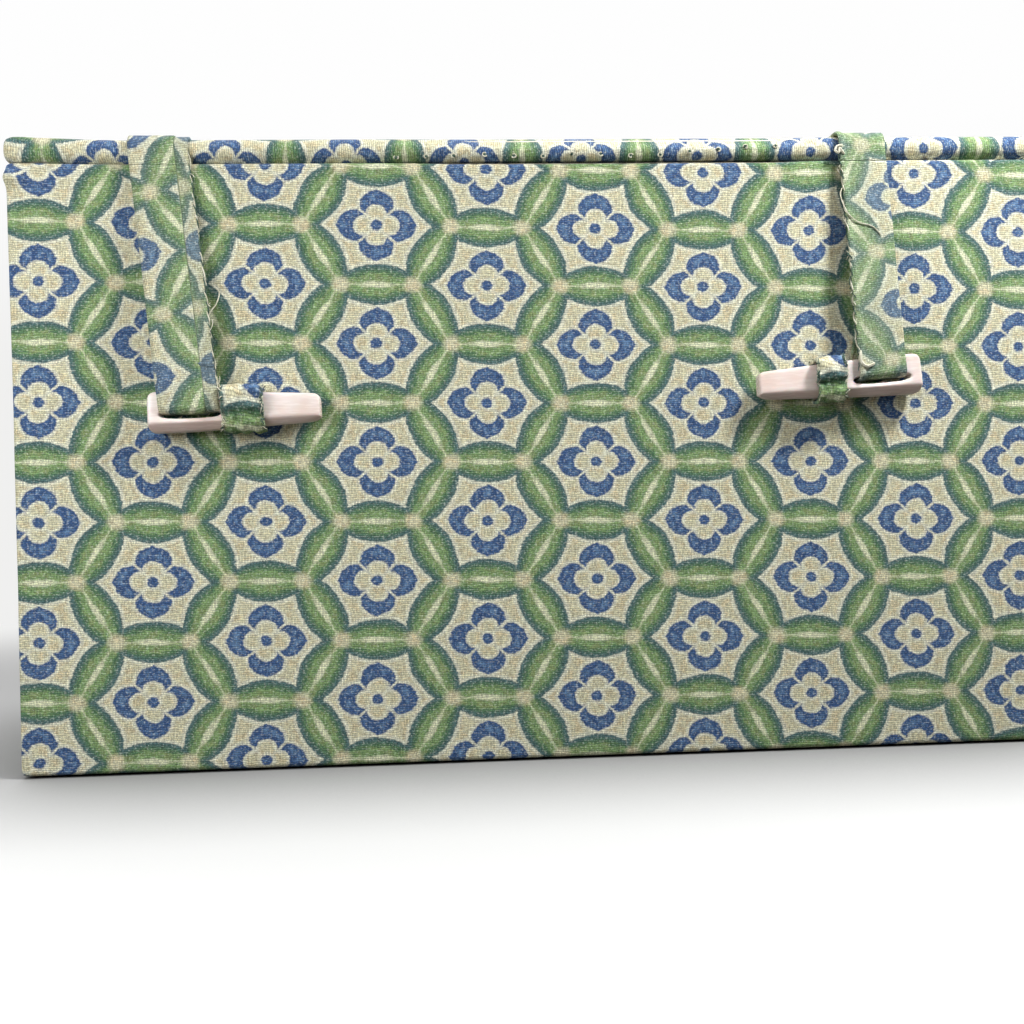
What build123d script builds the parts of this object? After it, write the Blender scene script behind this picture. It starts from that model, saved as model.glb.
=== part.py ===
from build123d import *
import os
from dataclasses import dataclass
from math import asin, atan2, cos, degrees, hypot, radians, sin, sqrt

# Photo storage box: grey-board walls covered in printed cotton, a padded lid on a cloth hinge, and two
# cloth straps that end in clasps held by cloth loops on the front.
# Millimetres. The origin is the middle of the face that the box rests on, +Z is up, +X runs along the
# width and the front with the clasps faces -Y.

# ---- Driving dimensions ----
box_width = 280.0
box_depth = 120.0
box_height = 165.0
lid_height = 6.5
lid_gap = 0.3                  # daylight between the lid and the top of the walls

wall_board = 3.0
base_board_thickness = 2.5
cloth = 0.5                    # printed cotton with its glue
cloth_corner = 0.8             # rounding where the cloth turns round a board's edge
inside_turn_in = 15.0          # cloth turned down inside the walls
base_turn_in = 15.0            # cloth turned under the base
base_cloth_inset = 4.0
lining_paper = 0.8
lining_below_rim = 3.0
lining_fit = 0.2

lid_wadding_thickness = 1.0
lid_top_rounding = 3.0
lid_bottom_rounding = 0.9
lid_corner = 1.5
lid_turn_in = 15.0
lid_lining_clearance = 1.5

hinge_cloth_below = 30.0       # how far the hinge cloth reaches down the back wall
hinge_cloth_side_inset = 2.0
hinge_crease = 0.2             # radius of the crease pressed along the fold

strap_thickness = 0.8
strap_anchor_length = 25.0
strap_tuck = 3.0               # how far the strap's end is tucked into the lid board
slit_clearance = 0.1
cloth_gap = 0.3                # between a soft piece and what moves beside it
strap_fold_length = 8.0        # how far above the clasp's bar the strap's two layers part

clasp_length = 43.6
clasp_height = 10.6
clasp_thickness = 5.8
clasp_tip_height = 7.4
clasp_tip_thickness = 4.4
clasp_taper_from = 10.0        # distance from the head's end at which the peg starts to taper
clasp_slot_from = 2.8
clasp_slot_length = 16.0
clasp_slot_width = 2.0
clasp_slot_above_middle = -0.7
clasp_slot_rounding = 0.4
clasp_head_rounding = 1.4
clasp_tip_rounding = 1.6
clasp_edge_bevel = 1.2
bar_clearance = 0.2            # between the clasp's bar and the strap folded round it

loop_thickness = 0.9
loop_clearance = 0.4           # between the peg and the loop
loop_tail_width_share = 0.8
loop_tail_below_peg_axis = 4.4
loop_foot_height = 20.0

# ---- Levels and faces that follow from them ----
half_width = box_width / 2
half_depth = box_depth / 2
wall_top = box_height - lid_height - lid_gap
wall_bottom = cloth                                 # the wall cloth turns under, above the base cloth
base_board_bottom = wall_bottom + cloth
base_board_top = base_board_bottom + base_board_thickness
wall_board_top = wall_top - cloth
board_half_width = half_width - cloth
board_half_depth = half_depth - cloth
inner_half_width = board_half_width - wall_board    # inner faces of the wall boards
inner_half_depth = board_half_depth - wall_board
turn_in_bottom = wall_board_top - inside_turn_in
lining_thickness = lining_paper + cloth             # the lining is packed out level with the turn-in
lining_top = wall_top - lining_below_rim
base_lining_top = base_board_top + lining_paper
lid_bottom = wall_top + lid_gap
lid_board_bottom = lid_bottom + cloth
wadding_top = box_height - cloth
lid_board_top = wadding_top - lid_wadding_thickness
joint_height = wall_top + lid_gap / 2
hinge_axis = (0.0, half_depth + cloth, joint_height)


@dataclass
class Closure:
    """One strap with its clasp and loop. The clasp's peg points along hand * X, away from the box's near
    side, and distances are taken from that side and from the lid's top."""

    side: str
    hand: int
    strap_width: float
    strap_from_side: float  # to the middle of the strap where it crosses the lid's front edge
    head_from_side: float   # to the middle of the clasp's head end
    head_below_top: float
    tilt: float             # degrees by which the clasp rises towards +X
    loop_from: float        # from the clasp's head end to the loop
    loop_width: float

    @property
    def strap_top_x(self):
        return -self.hand * (half_width - self.strap_from_side)

    @property
    def head_x(self):
        return -self.hand * (half_width - self.head_from_side)

    @property
    def head_z(self):
        return box_height - self.head_below_top


closures = [
    Closure("left", 1, strap_width=15.2, strap_from_side=38.3, head_from_side=35.5, head_below_top=72.1,
            tilt=0.9, loop_from=18.9, loop_width=10.4),
    Closure("right", -1, strap_width=12.4, strap_from_side=56.1, head_from_side=43.4, head_below_top=65.3,
            tilt=3.6, loop_from=20.9, loop_width=7.7),
]
strap_seat_u = clasp_slot_from + clasp_slot_length / 2       # middle of the strap, from the head's end
half_clasp = clasp_thickness / 2
clasp_y = -half_depth - loop_thickness - loop_clearance - half_clasp
slot_high = clasp_slot_above_middle + clasp_slot_width / 2
lid_round_y = -half_depth + lid_top_rounding
lid_round_z = box_height - lid_top_rounding
strap_round = lid_top_rounding + cloth_gap + strap_thickness / 2
swing_axis = (0.0, lid_round_y + strap_thickness / 2, box_height + strap_thickness / 2)


def slab(x, y, z):
    """A block between two x, two y and two z values."""
    return Pos((x[0] + x[1]) / 2, (y[0] + y[1]) / 2, (z[0] + z[1]) / 2) * Box(
        x[1] - x[0], y[1] - y[0], z[1] - z[0]
    )


def centred(half_x, half_y, z):
    """A block centred on the Z axis between two z values."""
    return slab((-half_x, half_x), (-half_y, half_y), z)


def on_clasp(closure, u, v, w):
    """The place of a point given from the clasp's head: u along the peg, v backwards and w upwards."""
    t = radians(closure.tilt)
    return Vector(
        closure.head_x + closure.hand * u * cos(t) - w * sin(t),
        clasp_y + v,
        closure.head_z + closure.hand * u * sin(t) + w * cos(t),
    )


def set_on_clasp(closure, shape):
    """Moves a shape from the clasp's own frame, X along +X and Z upwards, to its place on the box."""
    return Pos(closure.head_x, clasp_y, closure.head_z) * Rot(0, -closure.tilt, 0) * shape


def upright_edges(shape):
    return shape.edges().filter_by(Axis.Z)


def rim_edges(shape, z):
    """The edges of a shape that lie at one height."""
    return [e for e in shape.edges() if abs(e.bounding_box().min.Z - z) < 1e-4
            and abs(e.bounding_box().max.Z - z) < 1e-4]


# ---- Box body ----
def make_base_board():
    return centred(board_half_width, board_half_depth, (base_board_bottom, base_board_top))


def make_base_cover():
    """Cloth panel under the base, which fills the window that the turn-ins leave."""
    panel = centred(half_width - base_cloth_inset, half_depth - base_cloth_inset, (0, wall_bottom))
    filling = centred(half_width - base_turn_in - lining_fit, half_depth - base_turn_in - lining_fit,
                      (0, base_board_bottom))
    return panel + filling


def make_front_board():
    """Front wall, with a slit for each loop's tail and a shallow recess behind it for the loop's foot."""
    board = slab((-board_half_width, board_half_width), (-board_half_depth, -inner_half_depth),
                 (base_board_top, wall_board_top))
    for closure in closures:
        board -= loop_slit(closure, -board_half_depth - cloth, -inner_half_depth)
        board -= loop_foot(closure, slit_clearance)
    return board


def make_back_board():
    return slab((-board_half_width, board_half_width), (inner_half_depth, board_half_depth),
                (base_board_top, wall_board_top))


def make_side_board(hand):
    x = sorted((hand * inner_half_width, hand * board_half_width))
    return slab(x, (-inner_half_depth, inner_half_depth), (base_board_top, wall_board_top))


def make_wall_cover():
    """One sleeve of printed cloth round the four walls, turned down inside them and under the base."""
    skin = centred(half_width, half_depth, (wall_bottom, wall_top))
    skin = fillet(upright_edges(skin), cloth_corner)
    skin = fillet(rim_edges(skin, wall_bottom) + rim_edges(skin, wall_top), cloth_corner)
    skin -= centred(board_half_width, board_half_depth, (base_board_bottom, wall_board_top))
    skin -= centred(half_width - base_turn_in, half_depth - base_turn_in, (0, base_board_bottom))
    skin += centred(inner_half_width, inner_half_depth, (turn_in_bottom, wall_top))
    skin -= centred(inner_half_width - cloth, inner_half_depth - cloth, (turn_in_bottom, wall_top))
    for closure in closures:
        skin -= loop_slit(closure, -half_depth - cloth, -inner_half_depth)
    return skin


def make_base_lining():
    return centred(inner_half_width - lining_fit, inner_half_depth - lining_fit,
                   (base_board_top, base_lining_top))


def lining_panel(length, level):
    """A wall lining that faces +Y at y = 0, thinner where the cloth turned in lies behind it."""
    half = length / 2
    body = slab((-half, half), (-lining_thickness, 0), (base_lining_top, lining_top))
    return body - slab((-half, half), (-lining_thickness, -lining_paper), (level, lining_top))


def make_long_lining(hand):
    """Lining of the front (hand -1) or back (hand 1) wall."""
    panel = lining_panel(2 * (inner_half_width - cloth - lining_fit), turn_in_bottom)
    panel = panel if hand < 0 else mirror(panel, Plane.XZ)
    return Pos(0, hand * (inner_half_depth - lining_thickness), 0) * panel


def make_end_lining(hand):
    """Lining of the left (hand -1) or right (hand 1) wall, which stands between the long ones."""
    panel = lining_panel(2 * (inner_half_depth - lining_thickness - lining_fit), turn_in_bottom)
    return Pos(hand * (inner_half_width - lining_thickness), 0, 0) * Rot(0, 0, 90 * hand) * panel


def make_hinge_cloth():
    """Cloth strip down the back of the lid's edge and the back wall, with a crease at the fold."""
    half = half_width - hinge_cloth_side_inset
    strip = slab((-half, half), (half_depth, half_depth + cloth),
                 (wall_top - hinge_cloth_below, box_height - lid_top_rounding))
    crease = Pos(*hinge_axis) * Rot(0, 90, 0) * Cylinder(hinge_crease, 2 * half + 2 * cloth)
    return strip - crease


# ---- Lid ----
def lid_shell(inset, bottom, top, top_rounding, corner):
    """The lid's outline, set in on every side, with its upper edges and its corners rounded."""
    solid = centred(half_width - inset, half_depth - inset, (bottom, top))
    solid = fillet(upright_edges(solid), corner)
    return fillet(rim_edges(solid, top), top_rounding)


def anchor_slits(bottom, top):
    """Slits through which the straps' ends are tucked into the lid."""
    cut = Part()
    for closure in closures:
        cut += anchor_tuck(closure, slit_clearance, bottom, top)
    return cut


def make_lid_board():
    inset = cloth + lid_wadding_thickness
    board = centred(half_width - inset, half_depth - inset, (lid_board_bottom, lid_board_top))
    board = fillet(upright_edges(board), lid_corner - cloth)
    return board - anchor_slits(lid_board_top - strap_tuck - slit_clearance, box_height)


def make_lid_wadding():
    """Thin wadding over the lid board's top and edges."""
    outer = lid_shell(cloth, lid_board_bottom, wadding_top, lid_top_rounding - cloth, lid_corner - cloth)
    inset = cloth + lid_wadding_thickness
    inner = centred(half_width - inset, half_depth - inset, (lid_board_bottom, lid_board_top))
    inner = fillet(upright_edges(inner), lid_corner - cloth)
    return outer - inner - anchor_slits(lid_bottom, box_height)


def make_lid_cover():
    """Printed cloth drawn over the wadding and turned in under the board."""
    outer = lid_shell(0, lid_bottom, box_height, lid_top_rounding, lid_corner)
    outer = fillet(rim_edges(outer, lid_bottom), lid_bottom_rounding)
    inner = lid_shell(cloth, lid_board_bottom, wadding_top, lid_top_rounding - cloth, lid_corner - cloth)
    window = centred(half_width - lid_turn_in, half_depth - lid_turn_in, (lid_bottom, lid_board_bottom))
    return outer - inner - window - anchor_slits(wadding_top - cloth, box_height)


def make_lid_lining():
    """Panel under the lid that drops inside the walls and fills the window in the turn-ins."""
    clear = cloth + lid_lining_clearance
    panel = centred(inner_half_width - clear, inner_half_depth - clear,
                    (lid_bottom - lining_paper, lid_bottom))
    filling = centred(half_width - lid_turn_in - lining_fit, half_depth - lid_turn_in - lining_fit,
                      (lid_bottom - lining_paper, lid_board_bottom))
    return panel + filling


# ---- Straps ----
def anchor_tuck(closure, clear, bottom, top):
    """The end of a strap where it goes down into the lid, or its slit when clear is above 0."""
    half = closure.strap_width / 2 + clear
    y = swing_axis[1] + strap_anchor_length
    return slab((closure.strap_top_x - half, closure.strap_top_x + half),
                (y - strap_thickness - clear, y + clear), (bottom, top))


def make_strap_anchor(closure):
    """The part of a strap that lies glued on the lid, from its tucked end to the front edge."""
    half = closure.strap_width / 2
    x = (closure.strap_top_x - half, closure.strap_top_x + half)
    y = swing_axis[1]
    flat = slab(x, (y, y + strap_anchor_length), (box_height, box_height + strap_thickness))
    nose = Pos(closure.strap_top_x, *swing_axis[1:]) * Rot(0, 90, 0) * Cylinder(
        strap_thickness / 2, closure.strap_width)
    return flat + nose + anchor_tuck(closure, 0, lid_board_top - strap_tuck, box_height)


def strap_joint(closure):
    """Where the strap's two layers meet above the clasp's bar, as a point between them."""
    return on_clasp(closure, strap_seat_u, 0, clasp_height / 2 + bar_clearance + strap_fold_length)


def strap_run(closure):
    """The strap's straight run: its tangent point on the lid's rounding, its angle from the vertical
    and its length down to the joint above the clasp."""
    joint = strap_joint(closure)
    dy = joint.Y - lid_round_y
    dz = joint.Z - lid_round_z
    reach = hypot(dy, dz)
    length = sqrt(reach**2 - strap_round**2)
    lean_out = atan2(-dy, -dz) - asin(strap_round / reach)
    tangent = (lid_round_y - strap_round * cos(lean_out), lid_round_z + strap_round * sin(lean_out))
    return tangent, lean_out, length


def make_strap(closure):
    """The free part of a strap, over the lid's rounded edge and down to its fold round the clasp."""
    tangent, lean_out, length = strap_run(closure)
    half = closure.strap_width / 2
    joint = strap_joint(closure)
    shift = joint.X - closure.strap_top_x
    drop = length - cloth_gap
    rise = half * sin(radians(closure.tilt))
    plane = Plane(origin=(closure.strap_top_x, *tangent), x_dir=(1, 0, 0),
                  z_dir=(0, -cos(lean_out), sin(lean_out)))
    outline = Polyline((-half, 0), (half, 0), (shift + half, rise - drop), (shift - half, -rise - drop),
                       close=True)
    run = extrude(plane * make_face(outline), strap_thickness / 2, both=True)
    start = 90 + degrees(cloth_gap / strap_round)
    turn = 180 - degrees(lean_out) - start
    outer = CenterArc((0, 0), strap_round + strap_thickness / 2, start, turn)
    inner = CenterArc((0, 0), strap_round - strap_thickness / 2, start, turn)
    bend = make_face([outer, Line(outer @ 1, inner @ 1), inner, Line(inner @ 0, outer @ 0)])
    bend = extrude(Plane.YZ * bend, half, both=True)
    return run + Pos(closure.strap_top_x, lid_round_y, lid_round_z) * bend


def make_strap_end(closure):
    """The strap's end, folded round the clasp's upper bar and closed above it."""
    layer = strap_thickness
    out_v = half_clasp + bar_clearance + layer
    out_w = slot_high - bar_clearance - layer
    top_w = clasp_height / 2 + bar_clearance + strap_fold_length
    shoulder = clasp_height / 2
    outer = Polyline((-out_v, out_w), (out_v, out_w), (out_v, shoulder), (layer / 2, top_w),
                     (-layer / 2, top_w), (-out_v, shoulder), close=True)
    in_v = half_clasp + bar_clearance
    in_w = slot_high - bar_clearance
    inner = Polyline((-in_v, in_w), (in_v, in_w), (in_v, shoulder), (0, top_w - 2 * layer),
                     (-in_v, shoulder), close=True)
    solid = extrude(Plane.YZ * make_face(outer), closure.strap_width / 2, both=True)
    solid = fillet(solid.edges().filter_by(Axis.X).group_by(Axis.Z)[0], layer)
    solid -= extrude(Plane.YZ * make_face(inner), closure.strap_width / 2, both=True)
    return set_on_clasp(closure, Pos(closure.hand * strap_seat_u, 0, 0) * solid)


# ---- Clasps and loops ----
def tapered(at_head, at_tip, u):
    """A size that is constant along the clasp's head and then narrows to the tip, at a distance u."""
    share = max(0.0, (u - clasp_taper_from) / (clasp_length - clasp_taper_from))
    return at_head + (at_tip - at_head) * share


def peg_half_height(u):
    return tapered(clasp_height, clasp_tip_height, u) / 2


def clasp_section(u):
    """The clasp's section across its length: a rectangle with bevelled corners."""
    high = peg_half_height(u)
    thick = tapered(clasp_thickness, clasp_tip_thickness, u) / 2
    flat_high = high - clasp_edge_bevel
    flat_thick = thick - clasp_edge_bevel
    corners = [(flat_thick, high), (thick, flat_high), (thick, -flat_high), (flat_thick, -high),
               (-flat_thick, -high), (-thick, -flat_high), (-thick, flat_high), (-flat_thick, high)]
    return Plane.YZ.offset(u) * make_face(Polyline(*corners, close=True))


def clasp_outline():
    """The clasp's outline as seen from the front, with rounded ends."""
    at = (0.0, clasp_taper_from, clasp_length)
    upper = [(u, peg_half_height(u)) for u in at]
    lower = [(u, -peg_half_height(u)) for u in reversed(at)]
    outline = make_face(Polyline(*upper, *lower, close=True))
    ends = outline.vertices().group_by(Axis.X)
    outline = fillet(ends[0], clasp_head_rounding)
    return fillet(outline.vertices().group_by(Axis.X)[-1], clasp_tip_rounding)


def make_clasp(closure):
    """Flat peg that tapers to its tip, with a slot through its head for the strap."""
    body = loft([clasp_section(u) for u in (0.0, clasp_taper_from, clasp_length)], ruled=True)
    body &= extrude(Plane.XZ * clasp_outline(), clasp_thickness, both=True)
    slot = Pos(strap_seat_u, 0, clasp_slot_above_middle) * Box(
        clasp_slot_length, 2 * clasp_thickness, clasp_slot_width)
    slot = fillet(slot.edges().filter_by(Axis.Y), clasp_slot_rounding)
    body -= slot
    if closure.hand < 0:
        body = mirror(body, Plane.YZ)
    return set_on_clasp(closure, body)


def loop_slit(closure, front, back):
    """Slit in the front wall for a loop's tail, between two y values."""
    return loop_tail(closure, slit_clearance, front, back)


def loop_middle(closure):
    return closure.loop_from + closure.loop_width / 2


def loop_tail(closure, clear, front, back):
    half = closure.loop_width * loop_tail_width_share / 2 + clear
    u = closure.hand * loop_middle(closure)
    w = -loop_tail_below_peg_axis
    tail = slab((u - half, u + half), (front - clasp_y, back - clasp_y),
                (w - loop_thickness - clear, w + loop_thickness + clear))
    return set_on_clasp(closure, tail)


def loop_foot(closure, clear):
    """The loop's two ends, spread flat against the inside of the front board."""
    half = closure.loop_width * loop_tail_width_share / 2 + clear
    u = closure.hand * loop_middle(closure)
    w = -loop_tail_below_peg_axis
    back = -inner_half_depth - clasp_y
    foot = slab((u - half, u + half), (back - loop_thickness - clear, back),
                (w - loop_foot_height / 2 - clear, w + loop_foot_height / 2 + clear))
    return set_on_clasp(closure, foot)


def make_clasp_loop(closure):
    """Loop of cloth round the clasp's peg, with its tail through the wall and its ends spread behind."""
    u = closure.hand * loop_middle(closure)
    in_w = peg_half_height(closure.loop_from) + loop_clearance
    in_v = half_clasp + loop_clearance
    outer = Pos(u, 0, 0) * Box(closure.loop_width, 2 * (in_v + loop_thickness), 2 * (in_w + loop_thickness))
    outer = fillet(outer.edges().filter_by(Axis.X), 2 * loop_thickness)
    inner = Pos(u, 0, 0) * Box(closure.loop_width, 2 * in_v, 2 * in_w)
    inner = fillet(inner.edges().filter_by(Axis.X), loop_thickness)
    tail_front = -half_depth - loop_thickness
    ring = set_on_clasp(closure, outer - inner)
    return ring + loop_tail(closure, 0, tail_front, -inner_half_depth) + loop_foot(closure, 0)


def make_all():
    """Every sub-part by its node name."""
    parts = {
        "base_board": make_base_board(),
        "base_cover": make_base_cover(),
        "front_board": make_front_board(),
        "back_board": make_back_board(),
        "left_board": make_side_board(-1),
        "right_board": make_side_board(1),
        "wall_cover": make_wall_cover(),
        "base_lining": make_base_lining(),
        "front_lining": make_long_lining(-1),
        "back_lining": make_long_lining(1),
        "left_lining": make_end_lining(-1),
        "right_lining": make_end_lining(1),
        "hinge_cloth": make_hinge_cloth(),
        "lid_board": make_lid_board(),
        "lid_wadding": make_lid_wadding(),
        "lid_cover": make_lid_cover(),
        "lid_lining": make_lid_lining(),
    }
    for closure in closures:
        parts[f"strap_anchor_{closure.side}"] = make_strap_anchor(closure)
        parts[f"strap_{closure.side}"] = make_strap(closure)
        parts[f"strap_end_{closure.side}"] = make_strap_end(closure)
        parts[f"clasp_{closure.side}"] = make_clasp(closure)
        parts[f"clasp_loop_{closure.side}"] = make_clasp_loop(closure)
    return parts


os.makedirs("parts", exist_ok=True)
for name, shape in make_all().items():
    export_step(shape, f"parts/{name}.step")
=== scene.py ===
"""Photo storage box: grey-board walls and a padded lid in printed cotton, with two cloth straps that end in
peg clasps held by cloth loops.

Sizes and places are in millimetres, in the frame's own axes, and become metres where a mesh is finished."""
import logging
from dataclasses import dataclass, field
from enum import Enum
from math import atan2, ceil, cos, exp, hypot, pi, radians, sin, sqrt, tan
from random import Random
from typing import Any, Callable

import bmesh
import bpy
from mathutils import Matrix, Vector, noise


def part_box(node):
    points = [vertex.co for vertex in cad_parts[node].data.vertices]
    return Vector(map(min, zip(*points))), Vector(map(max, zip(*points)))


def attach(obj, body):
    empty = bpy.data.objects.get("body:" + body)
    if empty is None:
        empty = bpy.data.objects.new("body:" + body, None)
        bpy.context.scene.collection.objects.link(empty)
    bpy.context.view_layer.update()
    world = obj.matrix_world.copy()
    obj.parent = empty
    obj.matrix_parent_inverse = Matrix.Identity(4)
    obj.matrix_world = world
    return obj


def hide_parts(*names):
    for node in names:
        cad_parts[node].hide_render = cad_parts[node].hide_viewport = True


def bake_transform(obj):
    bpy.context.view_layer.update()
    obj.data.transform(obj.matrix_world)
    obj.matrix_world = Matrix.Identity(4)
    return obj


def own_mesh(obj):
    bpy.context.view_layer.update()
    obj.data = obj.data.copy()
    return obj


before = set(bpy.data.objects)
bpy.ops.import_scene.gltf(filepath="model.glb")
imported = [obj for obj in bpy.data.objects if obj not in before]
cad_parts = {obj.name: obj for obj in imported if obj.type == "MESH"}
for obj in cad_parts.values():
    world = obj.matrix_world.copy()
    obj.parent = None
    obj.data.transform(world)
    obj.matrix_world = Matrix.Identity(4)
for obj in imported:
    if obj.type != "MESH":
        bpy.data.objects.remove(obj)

MM = 0.001
CLOTH_MAP = "cloth"        # the UV map that holds a point's place on the printed cloth, in millimetres
FADE = "fade"              # how worn the print is at a point, from 0 to 1
log = logging.getLogger("photo_box")

Place = Callable[[float, float], Vector]
PrintAt = Callable[[float, float, float], tuple[float, float]]


# ---- Colours and node trees ----
def linear(colour: str) -> tuple[float, float, float, float]:
    """Turns an sRGB hex colour to linear light.

    Args:
        colour: six hex digits after a hash.
    Returns:
        Red, green, blue and an alpha of 1.
    """
    parts = [int(colour[i:i + 2], 16) / 255 for i in (1, 3, 5)]
    red, green, blue = (p / 12.92 if p <= 0.04045 else ((p + 0.055) / 1.055) ** 2.4 for p in parts)
    return red, green, blue, 1.0


class Graph:
    """A node tree that is filled one node at a time."""

    OPTIONS = {"Math": "operation", "VectorMath": "operation", "Mix": "data_type",
               "MapRange": "interpolation_type", "TexNoise": "noise_dimensions"}

    def __init__(self, tree: bpy.types.NodeTree) -> None:
        """Empties the tree."""
        self.tree = tree
        tree.nodes.clear()

    def add(self, kind: str, *inputs: Any, **settings: Any) -> bpy.types.NodeSocket:
        """Adds a node with its settings and links.

        Args:
            kind: the node's type, with its main option after a dot, such as Math.ADD.
            inputs: sockets or constants for the node's inputs in order, or a dict of them by name.
            settings: the node's own properties.
        Returns:
            The node's first output, or the node's first input where it has no output.
        """
        kind, _, option = kind.partition(".")
        node = self.tree.nodes.new("ShaderNode" + kind)
        if option:
            settings[self.OPTIONS[kind]] = option
        for name, value in settings.items():
            setattr(node, name, value)
        open_inputs = [s for s in node.inputs if s.enabled and not s.is_unavailable]
        pairs = list(zip(open_inputs, (i for i in inputs if not isinstance(i, dict))))
        for named in (i for i in inputs if isinstance(i, dict)):
            pairs += [(node.inputs[name], value) for name, value in named.items()]
        for socket, value in pairs:
            if isinstance(value, bpy.types.NodeSocket):
                self.tree.links.new(value, socket)
            else:
                socket.default_value = value
        outputs = [s for s in node.outputs if s.enabled and not s.is_unavailable]
        return outputs[0] if outputs else node.inputs[0]


def new_material(name: str) -> tuple[bpy.types.Material, Graph]:
    """Makes an empty material.

    Args:
        name: what the finish is called.
    Returns:
        The material and its node graph.
    """
    material = bpy.data.materials.new(name)
    material.use_nodes = True
    return material, Graph(material.node_tree)


# ---- Finishes ----
@dataclass(frozen=True)
class PrintedCotton:
    """Plain-woven cotton, screen-printed with a lattice of green leaves round blue four-petalled flowers.

    The cloth is matt and slightly fuzzy. Its threads show as fine rows, and the dye sits on the thread
    tops, so the pale ground flecks through it."""

    name: str = "printed cotton, plain woven"
    column: float = 28.857         # between neighbouring columns of flowers
    row: float = 31.007            # between flowers of one column
    lattice_tip: float = 19.24     # from a flower's middle to where three leaves meet, across the rows
    leaf_middle: float = 5.5       # half the width of a leaf at its middle
    leaf_narrowing: float = 0.0335
    leaf_tip: float = 9.4          # from a leaf's middle to where its bare spot is centred
    leaf_gap: float = 2.05         # bare spot where three leaves meet
    leaf_outline: float = 0.95
    petal_reach: float = 5.0
    petal_radius: float = 4.15
    petal_hollow: float = 2.5
    hollow_middle: float = 2.9     # from the flower's middle to the middle of a petal's hollow
    peak_width: float = 1.4        # of the point in which a petal ends
    peak_height: float = 0.45
    dot_radius: float = 1.4
    weft_pitch: float = 0.56
    warp_pitch: float = 0.38
    ground: str = "#ccc8a8"
    ground_warm: str = "#cbb88f"
    ground_light: str = "#dee2d6"
    leaf: str = "#7f9c66"
    leaf_deep: str = "#4f7353"
    leaf_warm: str = "#8c8f62"
    leaf_edge: str = "#4a666a"
    streak: str = "#dddebf"
    petal: str = "#5b7ba0"
    petal_deep: str = "#38547f"
    worn: str = "#7f8d74"

    def build(self) -> bpy.types.Material:
        """Builds the material."""
        material, graph = new_material(self.name)
        add = graph.add
        flat = add("UVMap", uv_map=CLOTH_MAP)
        drift = add("TexNoise.2D", flat, 0.16, 2.0)
        drift = add("VectorMath.SUBTRACT", drift.node.outputs["Color"], (0.5, 0.5, 0.5))
        bleed = add("TexNoise.2D", flat, 1.9, 1.0)
        bleed = add("VectorMath.SUBTRACT", bleed.node.outputs["Color"], (0.5, 0.5, 0.5))
        ragged = add("VectorMath.MULTIPLY", flat, (0.7, 1 / self.weft_pitch, 1.0))
        ragged = add("TexNoise.2D", ragged, 1.0, 0.0)
        ragged = add("VectorMath.SUBTRACT", ragged.node.outputs["Color"], (0.5, 0.5, 0.5))
        printed_at = add("VectorMath.MULTIPLY_ADD", drift, (0.9, 0.9, 0.0), flat)
        printed_at = add("VectorMath.MULTIPLY_ADD", bleed, (0.4, 0.4, 0.0), printed_at)
        printed_at = add("VectorMath.MULTIPLY_ADD", ragged, (0.5, 0.2, 0.0), printed_at)
        dyed = self.print_colour(graph, printed_at)
        height, light = self.weave(graph, flat)
        fade = add("Attribute", attribute_name=FADE).node.outputs["Fac"]
        faded = add("Mix.RGBA", 0.5, dyed, linear(self.worn))
        colour = add("Mix.RGBA", fade, dyed, faded)
        fleck = add("TexNoise.2D", add("VectorMath.MULTIPLY", flat, (1.3, 2.2, 1.0)), 1.0, 1.0)
        fleck = add("MapRange.SMOOTHSTEP", fleck, 0.52, 0.78, 0.0, 0.34)
        colour = add("Mix.RGBA", fleck, colour, linear(self.ground_light))
        # Multiplies in the weave's lightness, which holds painted shade between the threads as well as the
        # threads' own tone.
        colour = add("Mix.RGBA", 1.0, colour, light, blend_type="MULTIPLY")
        bump = add("Bump", 0.55, 0.16 * MM, {"Height": height})
        shader = add("BsdfPrincipled", {"Base Color": colour, "Roughness": 0.86, "Specular IOR Level": 0.25,
                                        "Sheen Weight": 0.08, "Sheen Roughness": 0.5, "Normal": bump})
        add("OutputMaterial", shader)
        return material

    def print_colour(self, graph: Graph, at: bpy.types.NodeSocket) -> bpy.types.NodeSocket:
        """Draws the print.

        Args:
            graph: the material's graph.
            at: a point's place on the cloth, with a flower's middle at 0, 0.
        Returns:
            The print's colour there.
        """
        add = graph.add
        column, half_row, tip = self.column, self.row / 2, self.lattice_tip
        low, high = (-column, -half_row, 0.0), (column, half_row, 0.0)
        even = add("VectorMath.WRAP", at, high, low)
        odd = add("VectorMath.WRAP", add("VectorMath.SUBTRACT", at, high), high, low)
        squeeze = (half_row / (0.75**0.5) / tip, 1.0, 0.0)
        even_reach = add("VectorMath.LENGTH", add("VectorMath.MULTIPLY", even, squeeze))
        odd_reach = add("VectorMath.LENGTH", add("VectorMath.MULTIPLY", odd, squeeze))
        cell = add("Mix.VECTOR", add("Math.LESS_THAN", even_reach, odd_reach), odd, even)
        cell = add("VectorMath.ABSOLUTE", cell)

        level = add("VectorMath.SUBTRACT", cell, (0.0, half_row, 0.0))
        slant = add("VectorMath.SUBTRACT", cell, (0.75 * tip, half_row / 2, 0.0))
        run = hypot(tip / 2, half_row)
        along = (-tip / 2 / run, half_row / run, 0.0)
        aside = (half_row / run, tip / 2 / run, 0.0)
        slant = add("CombineXYZ", add("VectorMath.DOT_PRODUCT", slant, along).node.outputs["Value"],
                    add("VectorMath.DOT_PRODUCT", slant, aside).node.outputs["Value"], 0.0)
        is_level = add("VectorMath.DOT_PRODUCT", cell, (-2 * half_row, tip, 0.0)).node.outputs["Value"]
        on_leaf = add("Mix.VECTOR", add("Math.GREATER_THAN", is_level, 0.0), slant, level)
        on_leaf = add("VectorMath.ABSOLUTE", on_leaf)
        length = add("SeparateXYZ", on_leaf)
        across = length.node.outputs["Y"]

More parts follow.
